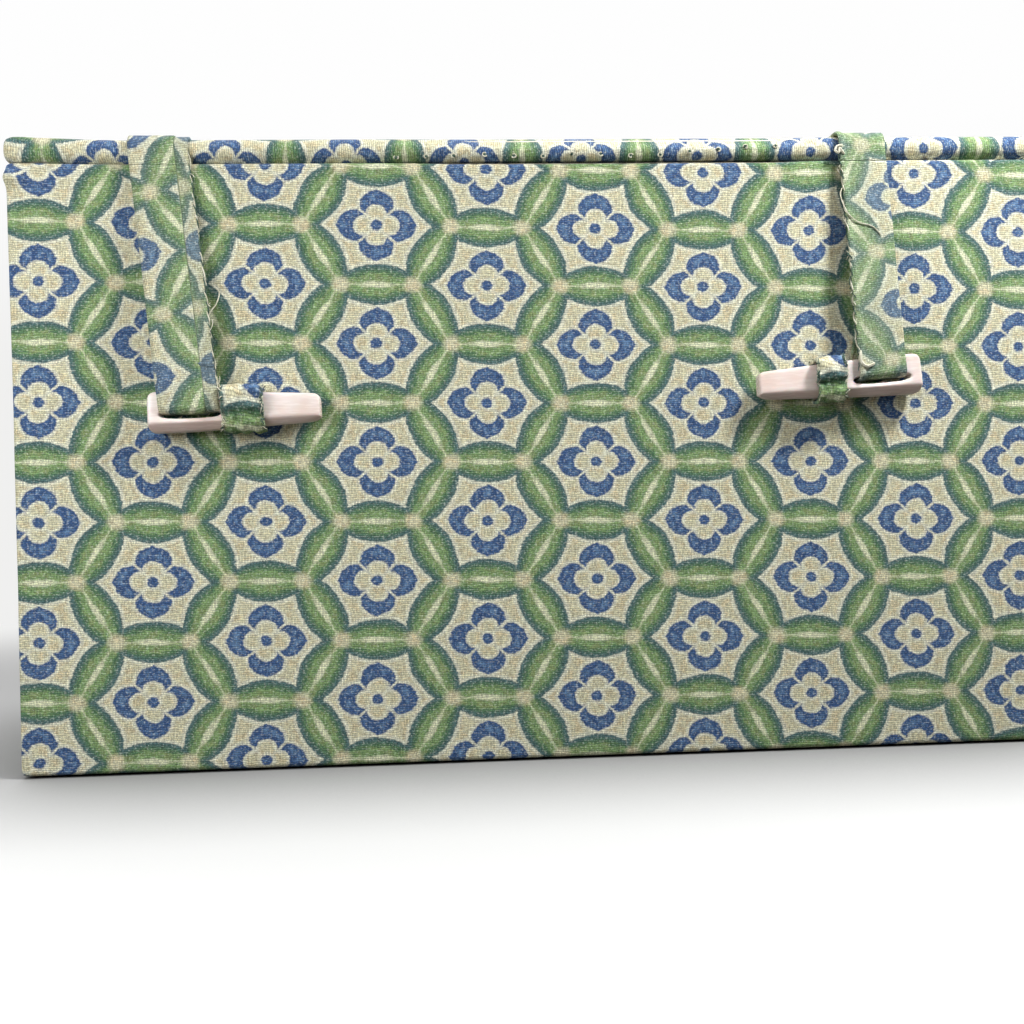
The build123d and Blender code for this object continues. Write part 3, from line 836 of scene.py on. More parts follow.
@dataclass
class LidCover:
    """The printed cotton drawn over the lid's wadding and turned in under its board."""

    size: BoxSize
    finishes: Finishes
    top_fold: float = 3.2
    bottom_fold: float = 2.9
    corner: float = 1.5
    step: float = 3.0
    crown: float = 0.35
    overhang: float = 0.9          # how far the padded edge hangs out over the rim between the straps
    sag: float = 0.75              # how far it hangs down there
    ear: float = 1.3               # how far the folded cloth stands out at the left end
    ear_reach: float = 7.0
    ear_fill: float = 0.9          # how much fuller the folded ends are than the rest of the edge
    print_placing: PrintPlacing = PrintPlacing((-22.6, -65.71), 88.58)

    def crown_at(self, x: float, y: float) -> float:
        """How high the wadding lifts the cloth above the lid's flat top."""
        reach = (1 - (x / self.size.half_width) ** 6) * (1 - (y / self.size.half_depth) ** 6)
        return self.crown * max(0.0, reach) + 0.12 * ripple(5, x / 37, y / 29) * max(0.0, reach)

    def overhang_at(self, x: float) -> float:
        """How far the front edge hangs out over the rim."""
        return 0.2 + self.overhang * self.size.between_straps(x)

    def sag_at(self, x: float) -> float:
        """How far the front edge hangs down."""
        return self.sag * self.size.between_straps(x)

    def build(self) -> bpy.types.Object:
        """Builds the cover."""
        size = self.size
        top = size.half_depth
        section = FoldedPath([(size.turn_in, size.lid_bottom), (0, size.lid_bottom), (0, size.height),
                              (top, size.height)], [self.bottom_fold, self.top_fold])
        outline = Outline(size, self.corner)
        flat_top = section.spans[-1]
        first = flat_top[0] - flat_top[2].x

        def place(s: float, t: float) -> Vector:
            """The place of a point of the cut."""
            (inset, z), _ = section.at(t)
            x, y, out = outline.at(s, inset)
            rise = self.crown_at(x, y) if inset > self.top_fold else 0.0
            near_end = step_up(abs(x), size.half_width - self.ear_reach, size.half_width)
            fuller = near_end * self.ear_fill * inset * exp(-((inset / self.top_fold) ** 2))
            stretch = self.ear * step_up(-x, size.half_width - self.ear_reach, size.half_width)
            hang = self.overhang_at(x) * max(0.0, -out.y) * step_up(-z, -size.height + 1, -size.height + 3.5)
            sag = self.sag_at(x) * exp(-((inset / 2.2) ** 2)) * max(0.0, -out.y)
            lift = size.rise(x, y) * (1 + step_up(z, size.lid_bottom + 1, size.height))
            return Vector((x + fuller * out.x - stretch, y + fuller * out.y - hang, z + rise + lift - sag))

        def print_at(s: float, t: float, middle: float) -> tuple[float, float]:
            """The print's coordinates of a point."""
            side, centre = outline.side(middle)
            inset = max(0.0, section.at(t)[0].x)
            wide, deep = size.half_width, size.half_depth
            half = wide if side in (Side.FRONT, Side.BACK) else deep
            along = (s - centre) * (half - inset) / half
            flat = t - first
            x, y = {Side.FRONT: (along, flat - deep), Side.RIGHT: (wide - flat, along),
                    Side.BACK: (-along, deep - flat), Side.LEFT: (flat - wide, -along)}[side]
            return self.print_placing.at(x, y)

        mesh = lay_cloth(outline.stations(self.step), section.stations(self.step), place, print_at)
        piece = make_piece("lid_cloth", mesh, self.finishes.cotton, "lid")
        settle(piece, "SOLIDIFY", thickness=size.cloth * MM, offset=-1)
        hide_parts("lid_cover")
        self.build_wadding()
        return piece

    def build_wadding(self) -> bpy.types.Object:
        """Builds the felted wadding under the cover, with its edges rounded off."""
        low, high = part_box("lid_wadding")
        mesh = bmesh.new()
        bmesh.ops.create_cube(mesh, size=1.0)
        bmesh.ops.scale(mesh, vec=high - low, verts=mesh.verts)
        bmesh.ops.translate(mesh, vec=(low + high) / 2, verts=mesh.verts)
        rounding = (self.bottom_fold - self.size.cloth) * MM
        bmesh.ops.bevel(mesh, geom=mesh.edges[:], affect="EDGES", offset=rounding, segments=4, profile=0.5,
                        material=-1)
        piece = make_piece("wadding_pad", mesh, self.finishes.fibre[Fibre.WADDING], "lid")
        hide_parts("lid_wadding")
        return piece


@dataclass
class Selvage:
    """The row of pinholes, each with a raised thread, that the weaving frame left along the lid's edge."""

    size: BoxSize
    lid: LidCover
    finishes: Finishes
    first: float = -40.5
    pitch: float = 7.75
    count: int = 14
    ring: float = 0.5

    def hole_at(self, x: float, jitter: float) -> Vector:
        """The middle of the hole near a place along the edge, on the edge's lower fold."""
        up = 1.7 + 1.9 * step_up(x, 25, 60) - 0.8 * (1 - step_up(x, -42, -20)) + jitter
        fold = self.lid.bottom_fold
        inset = fold - sqrt(fold * fold - max(0.0, fold - up) ** 2)
        return Vector((x, -self.size.half_depth + inset - self.lid.overhang_at(x),
                       self.size.lid_bottom + up - self.lid.sag_at(x)))

    def build(self) -> None:
        """Builds the raised threads, and within each a dark tube of the dyed-thread finish as painted shade
        inside the hole.
        """
        pick = Random(5)
        loops, hole_shades = bmesh.new(), bmesh.new()
        for i in range(self.count):
            x = self.first + i * self.pitch + pick.uniform(-0.3, 0.3)
            middle = self.hole_at(x, pick.uniform(-0.25, 0.25))
            start = pick.uniform(0, 2 * pi)

            def round_hole(share: float) -> Vector:
                """The line of a raised thread."""
                turn = start + 1.7 * pi * share
                return middle + Vector((self.ring * 1.2 * cos(turn), -0.1, self.ring * sin(turn)))

            def hole_shade_line(share: float) -> Vector:
                """The line of the dark tube that stands for the shade inside the hole, as painted shade."""
                return middle + Vector((0.7 * (share - 0.5), 0.0, 0.1 * sin(9 * share)))

            spin_thread(loops, round_hole, 0.2, parts=14)
            # a dark tube in each hole: painted shade for the hole's shaded inside
            spin_thread(hole_shades, hole_shade_line, 0.34, parts=6, sides=6)
        for name, mesh, kind in (("selvage_loops", loops, Fibre.LOOSE_THREAD),
                                 ("selvage_hole_shades", hole_shades, Fibre.DYED_THREAD)):
            piece = make_threads(name, mesh, self.finishes.fibre[kind], "lid")


@dataclass
class HingeCloth:
    """The strip of printed cotton glued down the back of the lid's edge and the back wall."""

    size: BoxSize
    finishes: Finishes
    side_inset: float = 2.0
    below: float = 30.0
    blend_half: float = 1.2
    print_placing: PrintPlacing = PrintPlacing((12.0, 140.0), 0.4)

    def build(self) -> bpy.types.Object:
        """Builds the strip."""
        size = self.size
        half = size.half_width - self.side_inset
        low, high = size.wall_top - self.below, size.height - 3.0
        joint = size.wall_top + size.lid_gap / 2
        face = size.half_depth + size.cloth
        rows = sorted(even(low, high, 2.5) + even(joint - self.blend_half, joint + self.blend_half, 0.3))

        def place(s: float, t: float) -> Vector:
            """The place of a point of the cut."""
            crease = 0.25 * exp(-(((t - joint) / 0.5) ** 2))
            loose = 0.1 * (1 + ripple(3, s / 19, t / 13)) * step_up(t, low, low + 4)
            return Vector((-s, face - crease + loose - 0.08, t))

        mesh = lay_cloth(even(-half, half, 3.0), rows, place, lambda s, t, _: self.print_placing.at(s, t))
        piece = make_piece("hinge_strip", mesh, self.finishes.cotton, "")
        settle(piece, "SOLIDIFY", thickness=(size.cloth - 0.06) * MM, offset=-1)
        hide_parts("hinge_cloth")
        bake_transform(piece)
        return piece


# ---- Straps, clasps and loops ----
@dataclass(frozen=True)
class Closure:
    """One strap with its clasp and loop. The peg points along hand * X."""

    side: str
    hand: int
    strap_width: float
    strap_top_x: float
    head_x: float
    head_z: float
    tilt: float                # degrees by which the clasp rises towards +X
    loop_from: float
    loop_width: float
    flower: tuple[float, float]    # a flower's middle on the strap: from its middle line, and its height
    print_stretch: float
    print_turn: float
    raw_edge: int              # the edge that frays: 1 right, -1 left
    seed: float


CLOSURES = (
    Closure("left", 1, 15.2, -101.7, -104.5, 92.9, 0.9, 18.9, 10.4, (16.4, 150.3), 1.035, 0.6, 1, 11.0),
    Closure("right", -1, 12.4, 83.9, 96.6, 99.7, 3.6, 20.9, 7.7, (9.8, 147.4), 0.95, -2.6, -1, 23.0),
)


@dataclass(frozen=True)
class ClaspSize:
    """The sizes that the clasp, the strap's fold and the loop share."""

    length: float = 43.6
    height: float = 10.6
    thickness: float = 5.8
    tip_height: float = 7.4
    tip_thickness: float = 4.4
    taper_from: float = 10.0
    slot_from: float = 2.8
    slot_length: float = 16.0
    slot_low: float = -1.7
    slot_high: float = 0.3
    y: float = -64.2               # the peg's axis

    @property
    def seat(self) -> float:
        """The strap's middle, from the head's end."""
        return self.slot_from + self.slot_length / 2

    def tapered(self, at_head: float, at_tip: float, u: float) -> float:
        """A size that narrows from the head to the tip, at a distance u from the head's end."""
        share = max(0.0, (u - self.taper_from) / (self.length - self.taper_from))
        return at_head + (at_tip - at_head) * share

    def place(self, closure: Closure, u: float, v: float, w: float) -> Vector:
        """The place of a point: u along the peg, v backwards and w upwards."""
        t = radians(closure.tilt)
        return Vector((closure.head_x + closure.hand * u * cos(t) - w * sin(t), self.y + v,
                       closure.head_z + closure.hand * u * sin(t) + w * cos(t)))


# The loose ends that lie on each strap: points across it, up and off it, and half the thread's thickness.
STRAY_THREADS = {
    "left": [
        ([(7.4, 117.0, -0.3), (8.6, 118.6, 0.3), (10.3, 120.6, 0.7), (11.2, 123.4, 0.6), (10.0, 125.2, 0.3)],
         0.16)],
    "right": [
        ([(-6.4, 150.0, -0.2), (-7.3, 147.4, 0.2), (-5.9, 142.6, 0.35), (-3.1, 140.2, 0.3),
          (0.6, 139.0, 0.2), (3.1, 136.2, 0.2)], 0.17),
        ([(-5.4, 161.4, 0.0), (-7.0, 161.0, 0.3), (-7.6, 159.8, 0.4), (-6.7, 159.2, 0.5),
          (-6.5, 160.4, 0.6), (-5.2, 158.6, 0.2)], 0.34),
        ([(-5.8, 106.0, 0.0), (-6.0, 103.0, 0.3), (-4.6, 101.6, 0.5), (-2.4, 102.2, 0.4)], 0.4)],
}


@dataclass
class Strap:
    """A strap from its tucked end on the lid, over the lid's edge, down to its fold round the clasp's bar.

    It is cloth folded double lengthwise. It is made as two pieces that meet on one section of the free run,
    because it crosses two joints."""

    closure: Closure
    clasp: ClaspSize
    size: BoxSize
    lid: LidCover
    finishes: Finishes
    thickness: float = 0.8
    off_lid: float = 0.75          # from the lid's face to the strap's middle
    tuck_y: float = -32.0
    tuck_depth: float = 4.8
    split_z: float = 157.0
    back_rise: float = 12.5        # how far the folded-back end reaches above the peg's axis
    strip: float = 3.8             # width of the layer that shows beside the upper one
    strip_flower: tuple[float, float] = (14.0, 135.0)
    twist_pitch: float = 5.3
    twist_swing: dict[str, float] = field(default_factory=lambda: {"left": 0.18, "right": 0.27})
    frays: int = 22                # short ends that stick out of the raw edge, of each kind of thread
    swing_y: float = -56.6         # a line over the lid's edge
    swing_blend: float = 1.5       # a distance on either side of it
    slide_from: float = 55.0       # a distance up the free run
    slide_to: float = 12.0         # and a second one, nearer the clasp
    path: FoldedPath = field(init=False)
    seat: Vector = field(init=False)

    def __post_init__(self) -> None:
        """Works out the strap's way in the plane across the lid's edge."""
        clasp, size = self.clasp, self.size
        self.seat = clasp.place(self.closure, clasp.seat, 0, 0)
        out = clasp.thickness / 2 + 0.15 + self.thickness / 2
        fold = clasp.slot_high - 0.15 - self.thickness / 2
        front, back = clasp.y - out, clasp.y + out
        bottom = self.seat.z + fold
        top = size.height + self.thickness / 2
        edge = -size.half_depth - self.off_lid
        self.path = FoldedPath([(front + 1.4, self.seat.z + self.back_rise), (back, self.seat.z + 4.5),
                                (back, bottom), (front, bottom), (edge, top + 0.25), (self.tuck_y, top),
                                (self.tuck_y, top - self.tuck_depth)],
                               [3.0, 1.4, 1.3, self.lid.top_fold + 0.5, 0.5])

    @property
    def run(self) -> tuple[float, float, Vector, Vector, float]:
        """The path's span that is the free run, from the clasp up to the lid's edge."""
        return self.path.spans[6]

    def along(self, z: float) -> float:
        """How far along the path a height of the free run is."""
        start, _, foot, ahead, _ = self.run
        return start + (z - foot.y) / ahead.y

    def run_share(self, z: float) -> float:
        """How far down the free run a height is, from 0 at the lid's edge to 1 at the clasp."""
        top = self.size.height - self.lid.top_fold
        return min(1.0, max(0.0, (top - z) / (top - self.seat.z)))

    def relief(self, a: float, t: float, z: float) -> float:
        """How far a point stands out of the strap's smooth middle surface."""
        closure = self.closure
        half = closure.strap_width / 2
        free = step_up(self.run_share(z), 0.02, 0.2)
        seed = closure.seed
        soft = 0.22 * ripple(seed, a / 6, t / 14) * free + 0.05 * ripple(seed + 1, a / 2, t / 3)
        if closure.raw_edge > 0:
            lower = -0.4 * step_up(a, half - self.strip - 0.15, half - self.strip + 0.15)
            cupped = 0.5 * free * (a / half) ** 2
            return soft + lower - 0.4 * cupped
        rolled = 0.55 * exp(-(((a + half - 0.7) / 0.6) ** 2)) * (0.8 + 0.5 * ripple(3, t / 4))
        ridge = (a + half) - (t - 131) * -1.45
        along_ridge = step_up(t, 122, 126) - step_up(t, 135, 139)
        return soft + rolled + 0.35 * exp(-((ridge / 0.8) ** 2)) * along_ridge

    def place(self, a: float, t: float) -> Vector:
        """The place of a point: a across the strap, and t along its path."""
        (y, z), (face_y, face_z) = self.path.at(t)
        share = self.run_share(z) if y < self.tuck_y - 15 else 0.0
        x = self.closure.strap_top_x + (self.seat.x - self.closure.strap_top_x) * share
        tilt = radians(self.closure.tilt) * share
        proud = self.relief(a, self.height_at(t), z)
        lift = self.lid.crown_at(x + a, y) if y > -52 else 0.0
        return Vector((x + a * cos(tilt), y + face_y * proud, z + a * sin(tilt) + face_z * proud + lift))

    def height_at(self, t: float) -> float:
        """The height that the print is placed by, which runs on over the strap's folds."""
        start, _, foot, _, _ = self.run
        return foot.y + (t - start)

    def print_at(self, a: float, t: float, _: float) -> tuple[float, float]:
        """The print's coordinates of a point. The strip that shows beside the upper layer has its own."""
        closure = self.closure
        lean = atan2(self.seat.x - closure.strap_top_x, self.size.height - self.seat.z)
        on_strip = closure.raw_edge > 0 and a > closure.strap_width / 2 - self.strip
        placing = PrintPlacing(self.strip_flower if on_strip else closure.flower, closure.print_turn,
                               closure.print_stretch)
        return placing.at(a * cos(lean), self.height_at(t) - a * sin(lean))

    def fade_at(self, a: float, t: float) -> float:
        """How worn the print is."""
        half = self.closure.strap_width / 2
        edge = 0.5 * step_up(abs(a), half - 0.7, half)
        blotch = 0.25 * ripple(self.closure.seed + 2, a / 5, t / 7)
        if self.closure.raw_edge > 0:
            on_strip = step_up(a, half - self.strip - 0.3, half - self.strip + 0.1)
            return min(1.0, max(edge, 0.3 + blotch, 0.8 * on_strip))
        return min(1.0, max(0.0, edge, 0.8 - 0.25 * step_up(a, -0.5, 3.5) + blotch))

    def stations(self) -> list[float]:
        """Stations across the strap, closer at the step between its layers."""
        half = self.closure.strap_width / 2
        step = half - self.strip
        extra = [step - 0.15, step - 0.05, step + 0.05, step + 0.15] if self.closure.raw_edge > 0 else \
            [-half + 0.2, -half + 0.5, -half + 0.8, -half + 1.1, -half + 1.5]
        return sorted(even(-half, half, 1.1) + extra)

    def off(self, a: float, z: float, proud: float) -> Vector:
        """A point of the free run, at a height z, that stands proud of the strap's face."""
        t = self.along(z)
        _, (face_y, face_z) = self.path.at(t)
        out = self.thickness / 2 + proud
        return self.place(a, t) + Vector((0.0, face_y * out, face_z * out))

    def twist(self, phase: float, swing: float) -> Callable[[float], Vector]:
        """The line of one of the two threads that wind round the raw edge."""
        edge = self.closure.raw_edge * self.closure.strap_width / 2
        low, high = self.seat.z + 2.5, self.size.height - self.lid.top_fold

        def route(share: float) -> Vector:
            """The thread's line."""
            z = low + (high - low) * share
            turn = 2 * pi * z / self.twist_pitch + phase + 3.5 * ripple(self.closure.seed, z / 6)
            stray = 0.35 * ripple(self.closure.seed + phase, z / 4)
            return self.off(edge + stray + swing * cos(turn), z, swing * sin(turn) - 0.3)

        return route

    def fray(self, pick: Random) -> Callable[[float], Vector]:
        """The line of one short end that sticks out of the raw edge."""
        hand = self.closure.raw_edge
        edge = hand * self.closure.strap_width / 2
        z = pick.uniform(self.seat.z + 3, self.split_z)
        reach, drop, lift = pick.uniform(0.3, 1.5), pick.uniform(-3.5, 3.5), pick.uniform(-0.4, 0.5)

        def route(share: float) -> Vector:
            """The end's line."""
            out = hand * reach * sin(pi * 0.6 * share) - 0.5 * hand
            return self.off(edge + out, z + drop * share, -0.25 + lift * share)

        return route

    def build_threads(self) -> list[bpy.types.Object]:
        """Builds the pale and the dyed threads that the strap's raw edge sheds."""
        made = []
        closure = self.closure
        pick = Random(int(closure.seed))
        for kind, phase in ((Fibre.LOOSE_THREAD, 0.0), (Fibre.DYED_THREAD, pi)):
            mesh = bmesh.new()
            spin_thread(mesh, self.twist(phase, self.twist_swing[closure.side]), 0.2, parts=260)
            for _ in range(self.frays):
                spin_thread(mesh, self.fray(pick), pick.uniform(0.08, 0.14), sides=4)
            if kind is Fibre.LOOSE_THREAD:
                for points, radius in STRAY_THREADS[closure.side]:
                    line = [self.off(*point) for point in points]
                    spin_thread(mesh, lambda share, line=line: along_points(line, share), radius, parts=24)
            name = f"{kind.name.lower()}s_{closure.side}"
            made.append(make_threads(name, mesh, self.finishes.fibre[kind], ""))
        return made

    def build(self) -> list[bpy.types.Object]:
        """Builds the strap's two pieces and its loose threads."""
        closure = self.closure
        split = self.along(self.split_z)
        threads = self.build_threads()
        made = []
        for name, low, high in (("strap_lower", 0.0, split), ("strap_upper", split, self.path.length)):
            rows = self.path.stations(1.2, low, high)
            mesh = lay_cloth(self.stations(), rows, self.place, self.print_at, self.fade_at)
            piece = make_piece(f"{name}_{closure.side}", mesh, self.finishes.cotton, "")
            settle(piece, "SOLIDIFY", thickness=self.thickness * MM, offset=0)
            made.append(piece)
        lower, upper = made
        self.bend(upper, [lower, *threads])
        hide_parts(f"strap_end_{closure.side}")
        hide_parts(f"strap_{closure.side}", f"strap_anchor_{closure.side}")
        return made + threads

    def bend(self, upper: bpy.types.Object, lower: list[bpy.types.Object]) -> None:
        """Bakes the pieces' placings into their meshes.

        Args:
            upper: the piece that crosses the lid's edge.
            lower: the pieces that go from the free run to the clasp.
        """
        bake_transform(upper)
        start = self.run[0]
        high, low = self.place(0, start + self.slide_from), self.place(0, start + self.slide_to)
        for piece in lower:
            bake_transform(piece)


@dataclass
class Clasp:
    """A flat peg clasp with rounded edges, a slot through its head and a tapering tip."""

    closure: Closure
    clasp: ClaspSize
    finishes: Finishes
    ridge: float = -2.9            # height of the line along which the front is proudest
    upper_fall: float = 0.5
    lower_fall: float = 1.7
    thinnest: float = 0.55         # half the thickness that is left at the lower edge
    edge: float = 1.9              # rounding of the ends' corners
    rim: float = 1.0               # rounding of the faces' rims
    neck: float = 21.0             # from the head's end to where the slot is behind and all of it tapers
    rings: tuple[float, float] = (28.0, 36.0)    # where the peg has edges round it besides its ends'

    def face(self, w: float) -> float:
        """How far the front or back face falls away from the clasp's full thickness, at a height w."""
        half = self.clasp.height / 2
        if w > self.ridge:
            return self.upper_fall * ((w - self.ridge) / (half - self.ridge))
        return self.lower_fall * ((self.ridge - w) / (half + self.ridge))

    def build(self) -> bpy.types.Object:
        """Builds the clasp."""
        clasp = self.clasp
        half = clasp.height / 2
        mesh = bmesh.new()
        slot_end = clasp.slot_from + clasp.slot_length
        us = [0.0, clasp.slot_from, clasp.seat, slot_end, *self.rings, clasp.length]
        ws = [-half, self.ridge, clasp.slot_low, clasp.slot_high, half]
        bmesh.ops.create_grid(mesh, x_segments=len(us) - 1, y_segments=len(ws) - 1, size=0.5)
        for i, vertex in enumerate(mesh.verts):
            vertex.co = Vector((us[i % len(us)], 0.0, ws[i // len(us)]))
        slot = [f for f in mesh.faces
                if clasp.slot_low < f.calc_center_median().z < clasp.slot_high
                and clasp.slot_from < f.calc_center_median().x < slot_end]
        bmesh.ops.delete(mesh, geom=slot, context="FACES")
        grown = bmesh.ops.extrude_face_region(mesh, geom=mesh.faces[:])
        back = {v for v in grown["geom"] if isinstance(v, bmesh.types.BMVert)}
        for vertex in mesh.verts:
            u, w = vertex.co.x, vertex.co.z
            v = max(self.thinnest, clasp.tapered(clasp.thickness, clasp.tip_thickness, u) / 2 - self.face(w))
            if abs(w) > 2 or u > self.neck:
                w *= clasp.tapered(1.0, clasp.tip_height / clasp.height, u)
            vertex.co = Vector((u, v if vertex in back else -v, w))
        bmesh.ops.recalc_face_normals(mesh, faces=mesh.faces)
        ends = [e for e in mesh.edges if abs(e.verts[0].co.y - e.verts[1].co.y) > 1.5
                and {round(v.co.x, 3) for v in e.verts} <= {0.0, clasp.length}
                and min(abs(v.co.z) for v in e.verts) > 3.0]
        bmesh.ops.bevel(mesh, geom=ends, affect="EDGES", offset=self.edge, segments=4, profile=0.5,
                        material=-1)
        rims = [e for e in mesh.edges if len(e.link_faces) == 2 and e.calc_face_angle() > radians(50)
                and abs(e.verts[0].co.y - e.verts[1].co.y) < 1.0]
        bmesh.ops.bevel(mesh, geom=rims, affect="EDGES", offset=self.rim, segments=3, profile=0.5,
                        material=-1, clamp_overlap=True)
        for vertex in mesh.verts:
            vertex.co = clasp.place(self.closure, *vertex.co) * MM
        if self.closure.hand < 0:
            bmesh.ops.reverse_faces(mesh, faces=mesh.faces)
        piece = make_piece(f"peg_{self.closure.side}", mesh, self.finishes.peg, f"clasp_{self.closure.side}",
                           sharp=75.0)
        settle(piece, "SUBSURF", levels=2, render_levels=2)
        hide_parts(f"clasp_{self.closure.side}")
        return piece


@dataclass
class ClaspLoop:
    """The loop of crumpled cloth that holds the peg, with its ends led through the front wall."""

    closure: Closure
    clasp: ClaspSize
    finishes: Finishes
    size: BoxSize
    thickness: float = 0.8
    clearance: float = 0.4
    flattened: float = 0.12        # how thick the empty loop lies
    bulge: float = 1.1             # how far the front's upper half stands out over its lower half
    tail: float = 10.0             # how far behind the peg's axis the ends reach
    lower_tail: float = -4.9       # their heights, from the peg's axis
    upper_tail: float = -3.8
    print_share: float = 0.29      # where along the loop the print is placed from
    print_rows: float = 0.65       # how many of its rows the print is moved back from there
    frays: int = 26                # short ends at the loop's two edges, of each kind of thread

    def build(self) -> bpy.types.Object:
        """Builds the loop."""
        closure, clasp = self.closure, self.clasp
        out_v = clasp.thickness / 2 + self.clearance + self.thickness / 2
        high = clasp.tapered(clasp.height, clasp.tip_height, closure.loop_from) / 2 + self.clearance + 0.4
        path = FoldedPath([(self.tail, self.lower_tail), (out_v + 0.5, self.lower_tail), (0, -high),
                           (-out_v, -high + 0.4), (-out_v, high), (out_v, high), (out_v, self.upper_tail),
                           (self.tail, self.upper_tail)], [1.0, 2.0, 2.9, 2.2, 1.6, 0.8])
        half = closure.loop_width / 2
        middle = closure.loop_from + half

        def place(a: float, t: float) -> Vector:
            """The place of a point of the loop."""
            (v, w), (face_v, face_w) = path.at(t)
            pinch = 1 - 0.2 * step_up(v, 2.5, 4.5)
            front = 1 - step_up(v, 0.0, 3.5)
            fold = 0.6 * ripple(closure.seed, a / 1.5, t / 8)
            fold += 0.55 * ripple(closure.seed + 4, a / 2.6, t / 2.0)
            groove = -0.5 * exp(-(((w + 0.4 - 0.12 * a) / 0.5) ** 2)) if closure.hand < 0 else 0.0
            proud = 0.1 + (fold + groove + self.bulge * step_up(w, -0.8, 0.3) * step_up(-v, 0, out_v)) * front
            flare = 0.5 * ripple(closure.seed + 6, t / 3) * (a / half)
            u = middle + closure.hand * (a * pinch + flare * front)
            return clasp.place(closure, u, v + face_v * proud, w + face_w * proud)

        def print_at(a: float, t: float, _: float) -> tuple[float, float]:
            """The print's coordinates of a point."""
            flower = path.length * self.print_share - self.print_rows * PrintedCotton.row
            return PrintPlacing((0.5, flower), 8.0, 1.3).at(a, t)

        rows = even(0, path.length, 0.5)
        mesh = lay_cloth(even(-half, half, 0.45), rows, place, print_at,
                         lambda a, t: 0.6 * step_up(abs(a), half - 1.2, half))
        piece = make_piece(f"loop_{closure.side}", mesh, self.finishes.cotton, "box")
        settle(piece, "SOLIDIFY", thickness=self.thickness * MM, offset=-1)
        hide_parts(f"clasp_loop_{closure.side}")
        pick = Random(int(closure.seed) + 1)
        threads = []
        for kind in (Fibre.LOOSE_THREAD, Fibre.DYED_THREAD):
            fringe = bmesh.new()
            for _ in range(self.frays):
                hand, t = pick.choice((-1, 1)), pick.uniform(0.28, 0.66) * path.length
                start, end = place(hand * (half - 0.6), t), place(hand * half, t + pick.uniform(-1.6, 1.6))
                end += (end - start).normalized() * pick.uniform(0.2, 1.0)
                bent = (start + end) / 2 + Vector((0.0, -pick.uniform(0.0, 0.6), 0.0))
                spin_thread(fringe, lambda share, line=(start, bent, end): along_points(line, share),
                            pick.uniform(0.09, 0.16), parts=6, sides=4)
            fringe_piece = make_threads(f"loop_{kind.name.lower()}s_{closure.side}", fringe,
                                        self.finishes.fibre[kind], "box")
            threads.append(fringe_piece)
        root = clasp.place(closure, middle, -clasp.y - self.size.half_depth, 0)
        for soft in (piece, *threads):
            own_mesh(soft)
        return piece


@dataclass
class Carcass:
    """The boards, the base's cloth and the linings, whose solids show as they are, and the wadding's solid,
    for which the pad stands."""

    finishes: Finishes
    nodes: dict[Fibre, list[str]] = field(default_factory=lambda: {
        Fibre.GREY_BOARD: ["base_board", "front_board", "back_board", "left_board", "right_board",
                           "lid_board"],
        Fibre.PLAIN_COTTON: ["base_cover"],
        Fibre.WADDING: ["lid_wadding"],
        Fibre.LINING_PAPER: ["base_lining", "front_lining", "back_lining", "left_lining", "right_lining",
                             "lid_lining"]})

    def dress(self) -> None:
        """Gives each solid its finish."""
        for kind, nodes in self.nodes.items():
            for node in nodes:
                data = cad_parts[node].data
                data.materials.clear()
                data.materials.append(self.finishes.fibre[kind])
                log.info("%s: %s", node, kind.value.name)


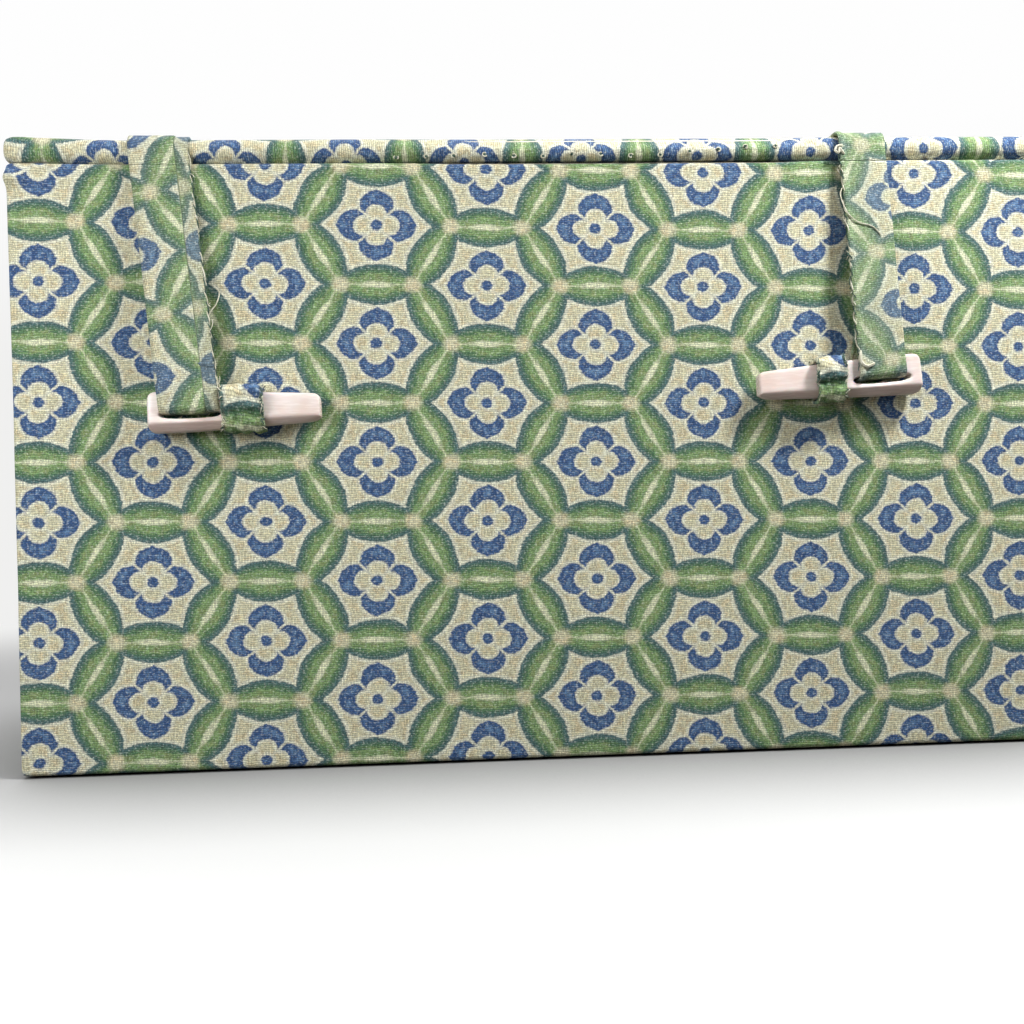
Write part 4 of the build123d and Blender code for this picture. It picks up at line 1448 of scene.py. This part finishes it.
@dataclass
class Studio:
    """The pale floor, the soft lights and the camera."""

    camera_at: tuple[float, float, float] = (-29.6, -351.8, 64.5)
    yaw: float = 3.41              # degrees towards +X
    pitch: float = 0.21
    roll: float = -1.4
    lens: float = 38.99
    world_light: float = 0.2
    backdrop: str = "#f0f0ef"
    backdrop_high: str = "#fefefe"
    floor_seen: str = "#d2d2d2"
    floor_as_light: str = "#5c5c5a"    # what the box sees of the floor, dim enough not to light its walls
    floor_size: float = 6000.0
    floor_near: float = 230.0      # how far from the box the floor starts to turn white
    floor_far: float = 520.0
    shade_reach: float = 70.0      # how near to the box the floor is shaded by it

    def build(self) -> None:
        """Builds the studio."""
        self.make_camera()
        self.make_world()
        self.make_floor()
        self.make_lamp("right", (205, -190, 330), (60, -60, 100), 60, 1.3)
        self.make_lamp("left", (-225, -260, 150), (-60, -60, 44), 130, 0.42)
        self.make_lamp("window", (-73, -412, 445), (0, -60, 60), 250, 0.38)
        self.make_lamp("sky", (-60, 160, 900), (-20, -20, 100), 600, 4.6)
        bpy.context.scene.view_settings.view_transform = "Standard"

    def make_camera(self) -> None:
        """Sets up the camera."""
        yaw, pitch, roll = radians(self.yaw), radians(self.pitch), radians(self.roll)
        ahead = Vector((sin(yaw) * cos(pitch), cos(yaw) * cos(pitch), sin(pitch)))
        level = Vector((cos(yaw), -sin(yaw), 0))
        above = level.cross(ahead)
        right = level * cos(roll) + above * sin(roll)
        up = above * cos(roll) - level * sin(roll)
        camera = bpy.data.objects.new("camera", bpy.data.cameras.new("camera"))
        camera.data.lens = self.lens
        camera.data.sensor_width = 36.0
        camera.data.clip_start = 0.01
        turn = Matrix((right, up, -ahead)).transposed().to_4x4()
        camera.matrix_world = Matrix.Translation(Vector(self.camera_at) * MM) @ turn
        bpy.context.scene.collection.objects.link(camera)
        bpy.context.scene.camera = camera

    def make_world(self) -> None:
        """Makes the world: white to the eye and to gloss, and dimmer as light."""
        world = bpy.data.worlds.new("studio")
        world.use_nodes = True
        graph = Graph(world.node_tree)
        add = graph.add
        rays = add("LightPath")
        seen = add("Math.MAXIMUM", rays, rays.node.outputs["Is Glossy Ray"])
        seen = add("Math.MAXIMUM", seen, rays.node.outputs["Is Transmission Ray"])
        strength = add("Mix.FLOAT", seen, self.world_light, 1.0)
        rise = add("SeparateXYZ", add("TexCoord")).node.outputs["Z"]
        high = add("MapRange.SMOOTHSTEP", rise, 0.12, 0.32)
        colour = add("Mix.RGBA", high, linear(self.backdrop), linear(self.backdrop_high))
        background = add("Background", colour, strength)
        add("OutputWorld", background)
        bpy.context.scene.world = world

    def make_floor(self) -> None:
        """Makes the floor, which shows only the box's soft shadow."""
        mesh = bmesh.new()
        bmesh.ops.create_grid(mesh, x_segments=2, y_segments=2, size=self.floor_size / 2 * MM)
        data = bpy.data.meshes.new("floor")
        bmesh.ops.translate(mesh, verts=mesh.verts, vec=(0, 0, -0.1 * MM))
        mesh.to_mesh(data)
        mesh.free()
        floor = bpy.data.objects.new("floor", data)
        bpy.context.scene.collection.objects.link(floor)
        material, graph = new_material("studio floor, matt white")
        add = graph.add
        rays = add("LightPath")
        shade = add("AmbientOcclusion", linear(self.floor_seen), self.shade_reach * MM)
        paint = add("BsdfDiffuse", add("Mix.RGBA", rays, linear(self.floor_as_light), shade))
        glow = add("Emission", linear(self.backdrop))
        reach = add("VectorMath.LENGTH", add("TexCoord").node.outputs["Object"])
        far = add("MapRange.SMOOTHSTEP", reach, self.floor_near * MM, self.floor_far * MM)
        far = add("Math.MULTIPLY", far, rays)
        add("OutputMaterial", add("MixShader", far, paint, glow))
        data.materials.append(material)

    def make_lamp(self, name: str, at: tuple[float, ...], aim: tuple[float, ...], size: float,
                  power: float) -> None:
        """Hangs one soft lamp.

        Args:
            name: the lamp's name.
            at: its place.
            aim: the place that it faces.
            size: its width.
            power: its power in watts.
        """
        lamp = bpy.data.lights.new(name, "AREA")
        lamp.size = size * MM
        lamp.energy = power
        holder = bpy.data.objects.new(name, lamp)
        holder.visible_camera = False
        way = Vector(aim) - Vector(at)
        turn = way.to_track_quat("-Z", "Y").to_matrix().to_4x4()
        holder.matrix_world = Matrix.Translation(Vector(at) * MM) @ turn
        bpy.context.scene.collection.objects.link(holder)


def main() -> None:
    """Builds the box's pieces and its studio."""
    logging.basicConfig(level=logging.INFO, format="%(name)s %(message)s")
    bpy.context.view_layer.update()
    size, clasp, finishes = BoxSize(), ClaspSize(), Finishes()
    lid = LidCover(size, finishes)
    Studio().build()
    Carcass(finishes).dress()
    WallCover(size, finishes).build()
    lid.build()
    Selvage(size, lid, finishes).build()
    HingeCloth(size, finishes).build()
    for closure in CLOSURES:
        Strap(closure, clasp, size, lid, finishes).build()
        Clasp(closure, clasp, finishes).build()
        ClaspLoop(closure, clasp, finishes, size).build()


if __name__ == "__main__":
    main()
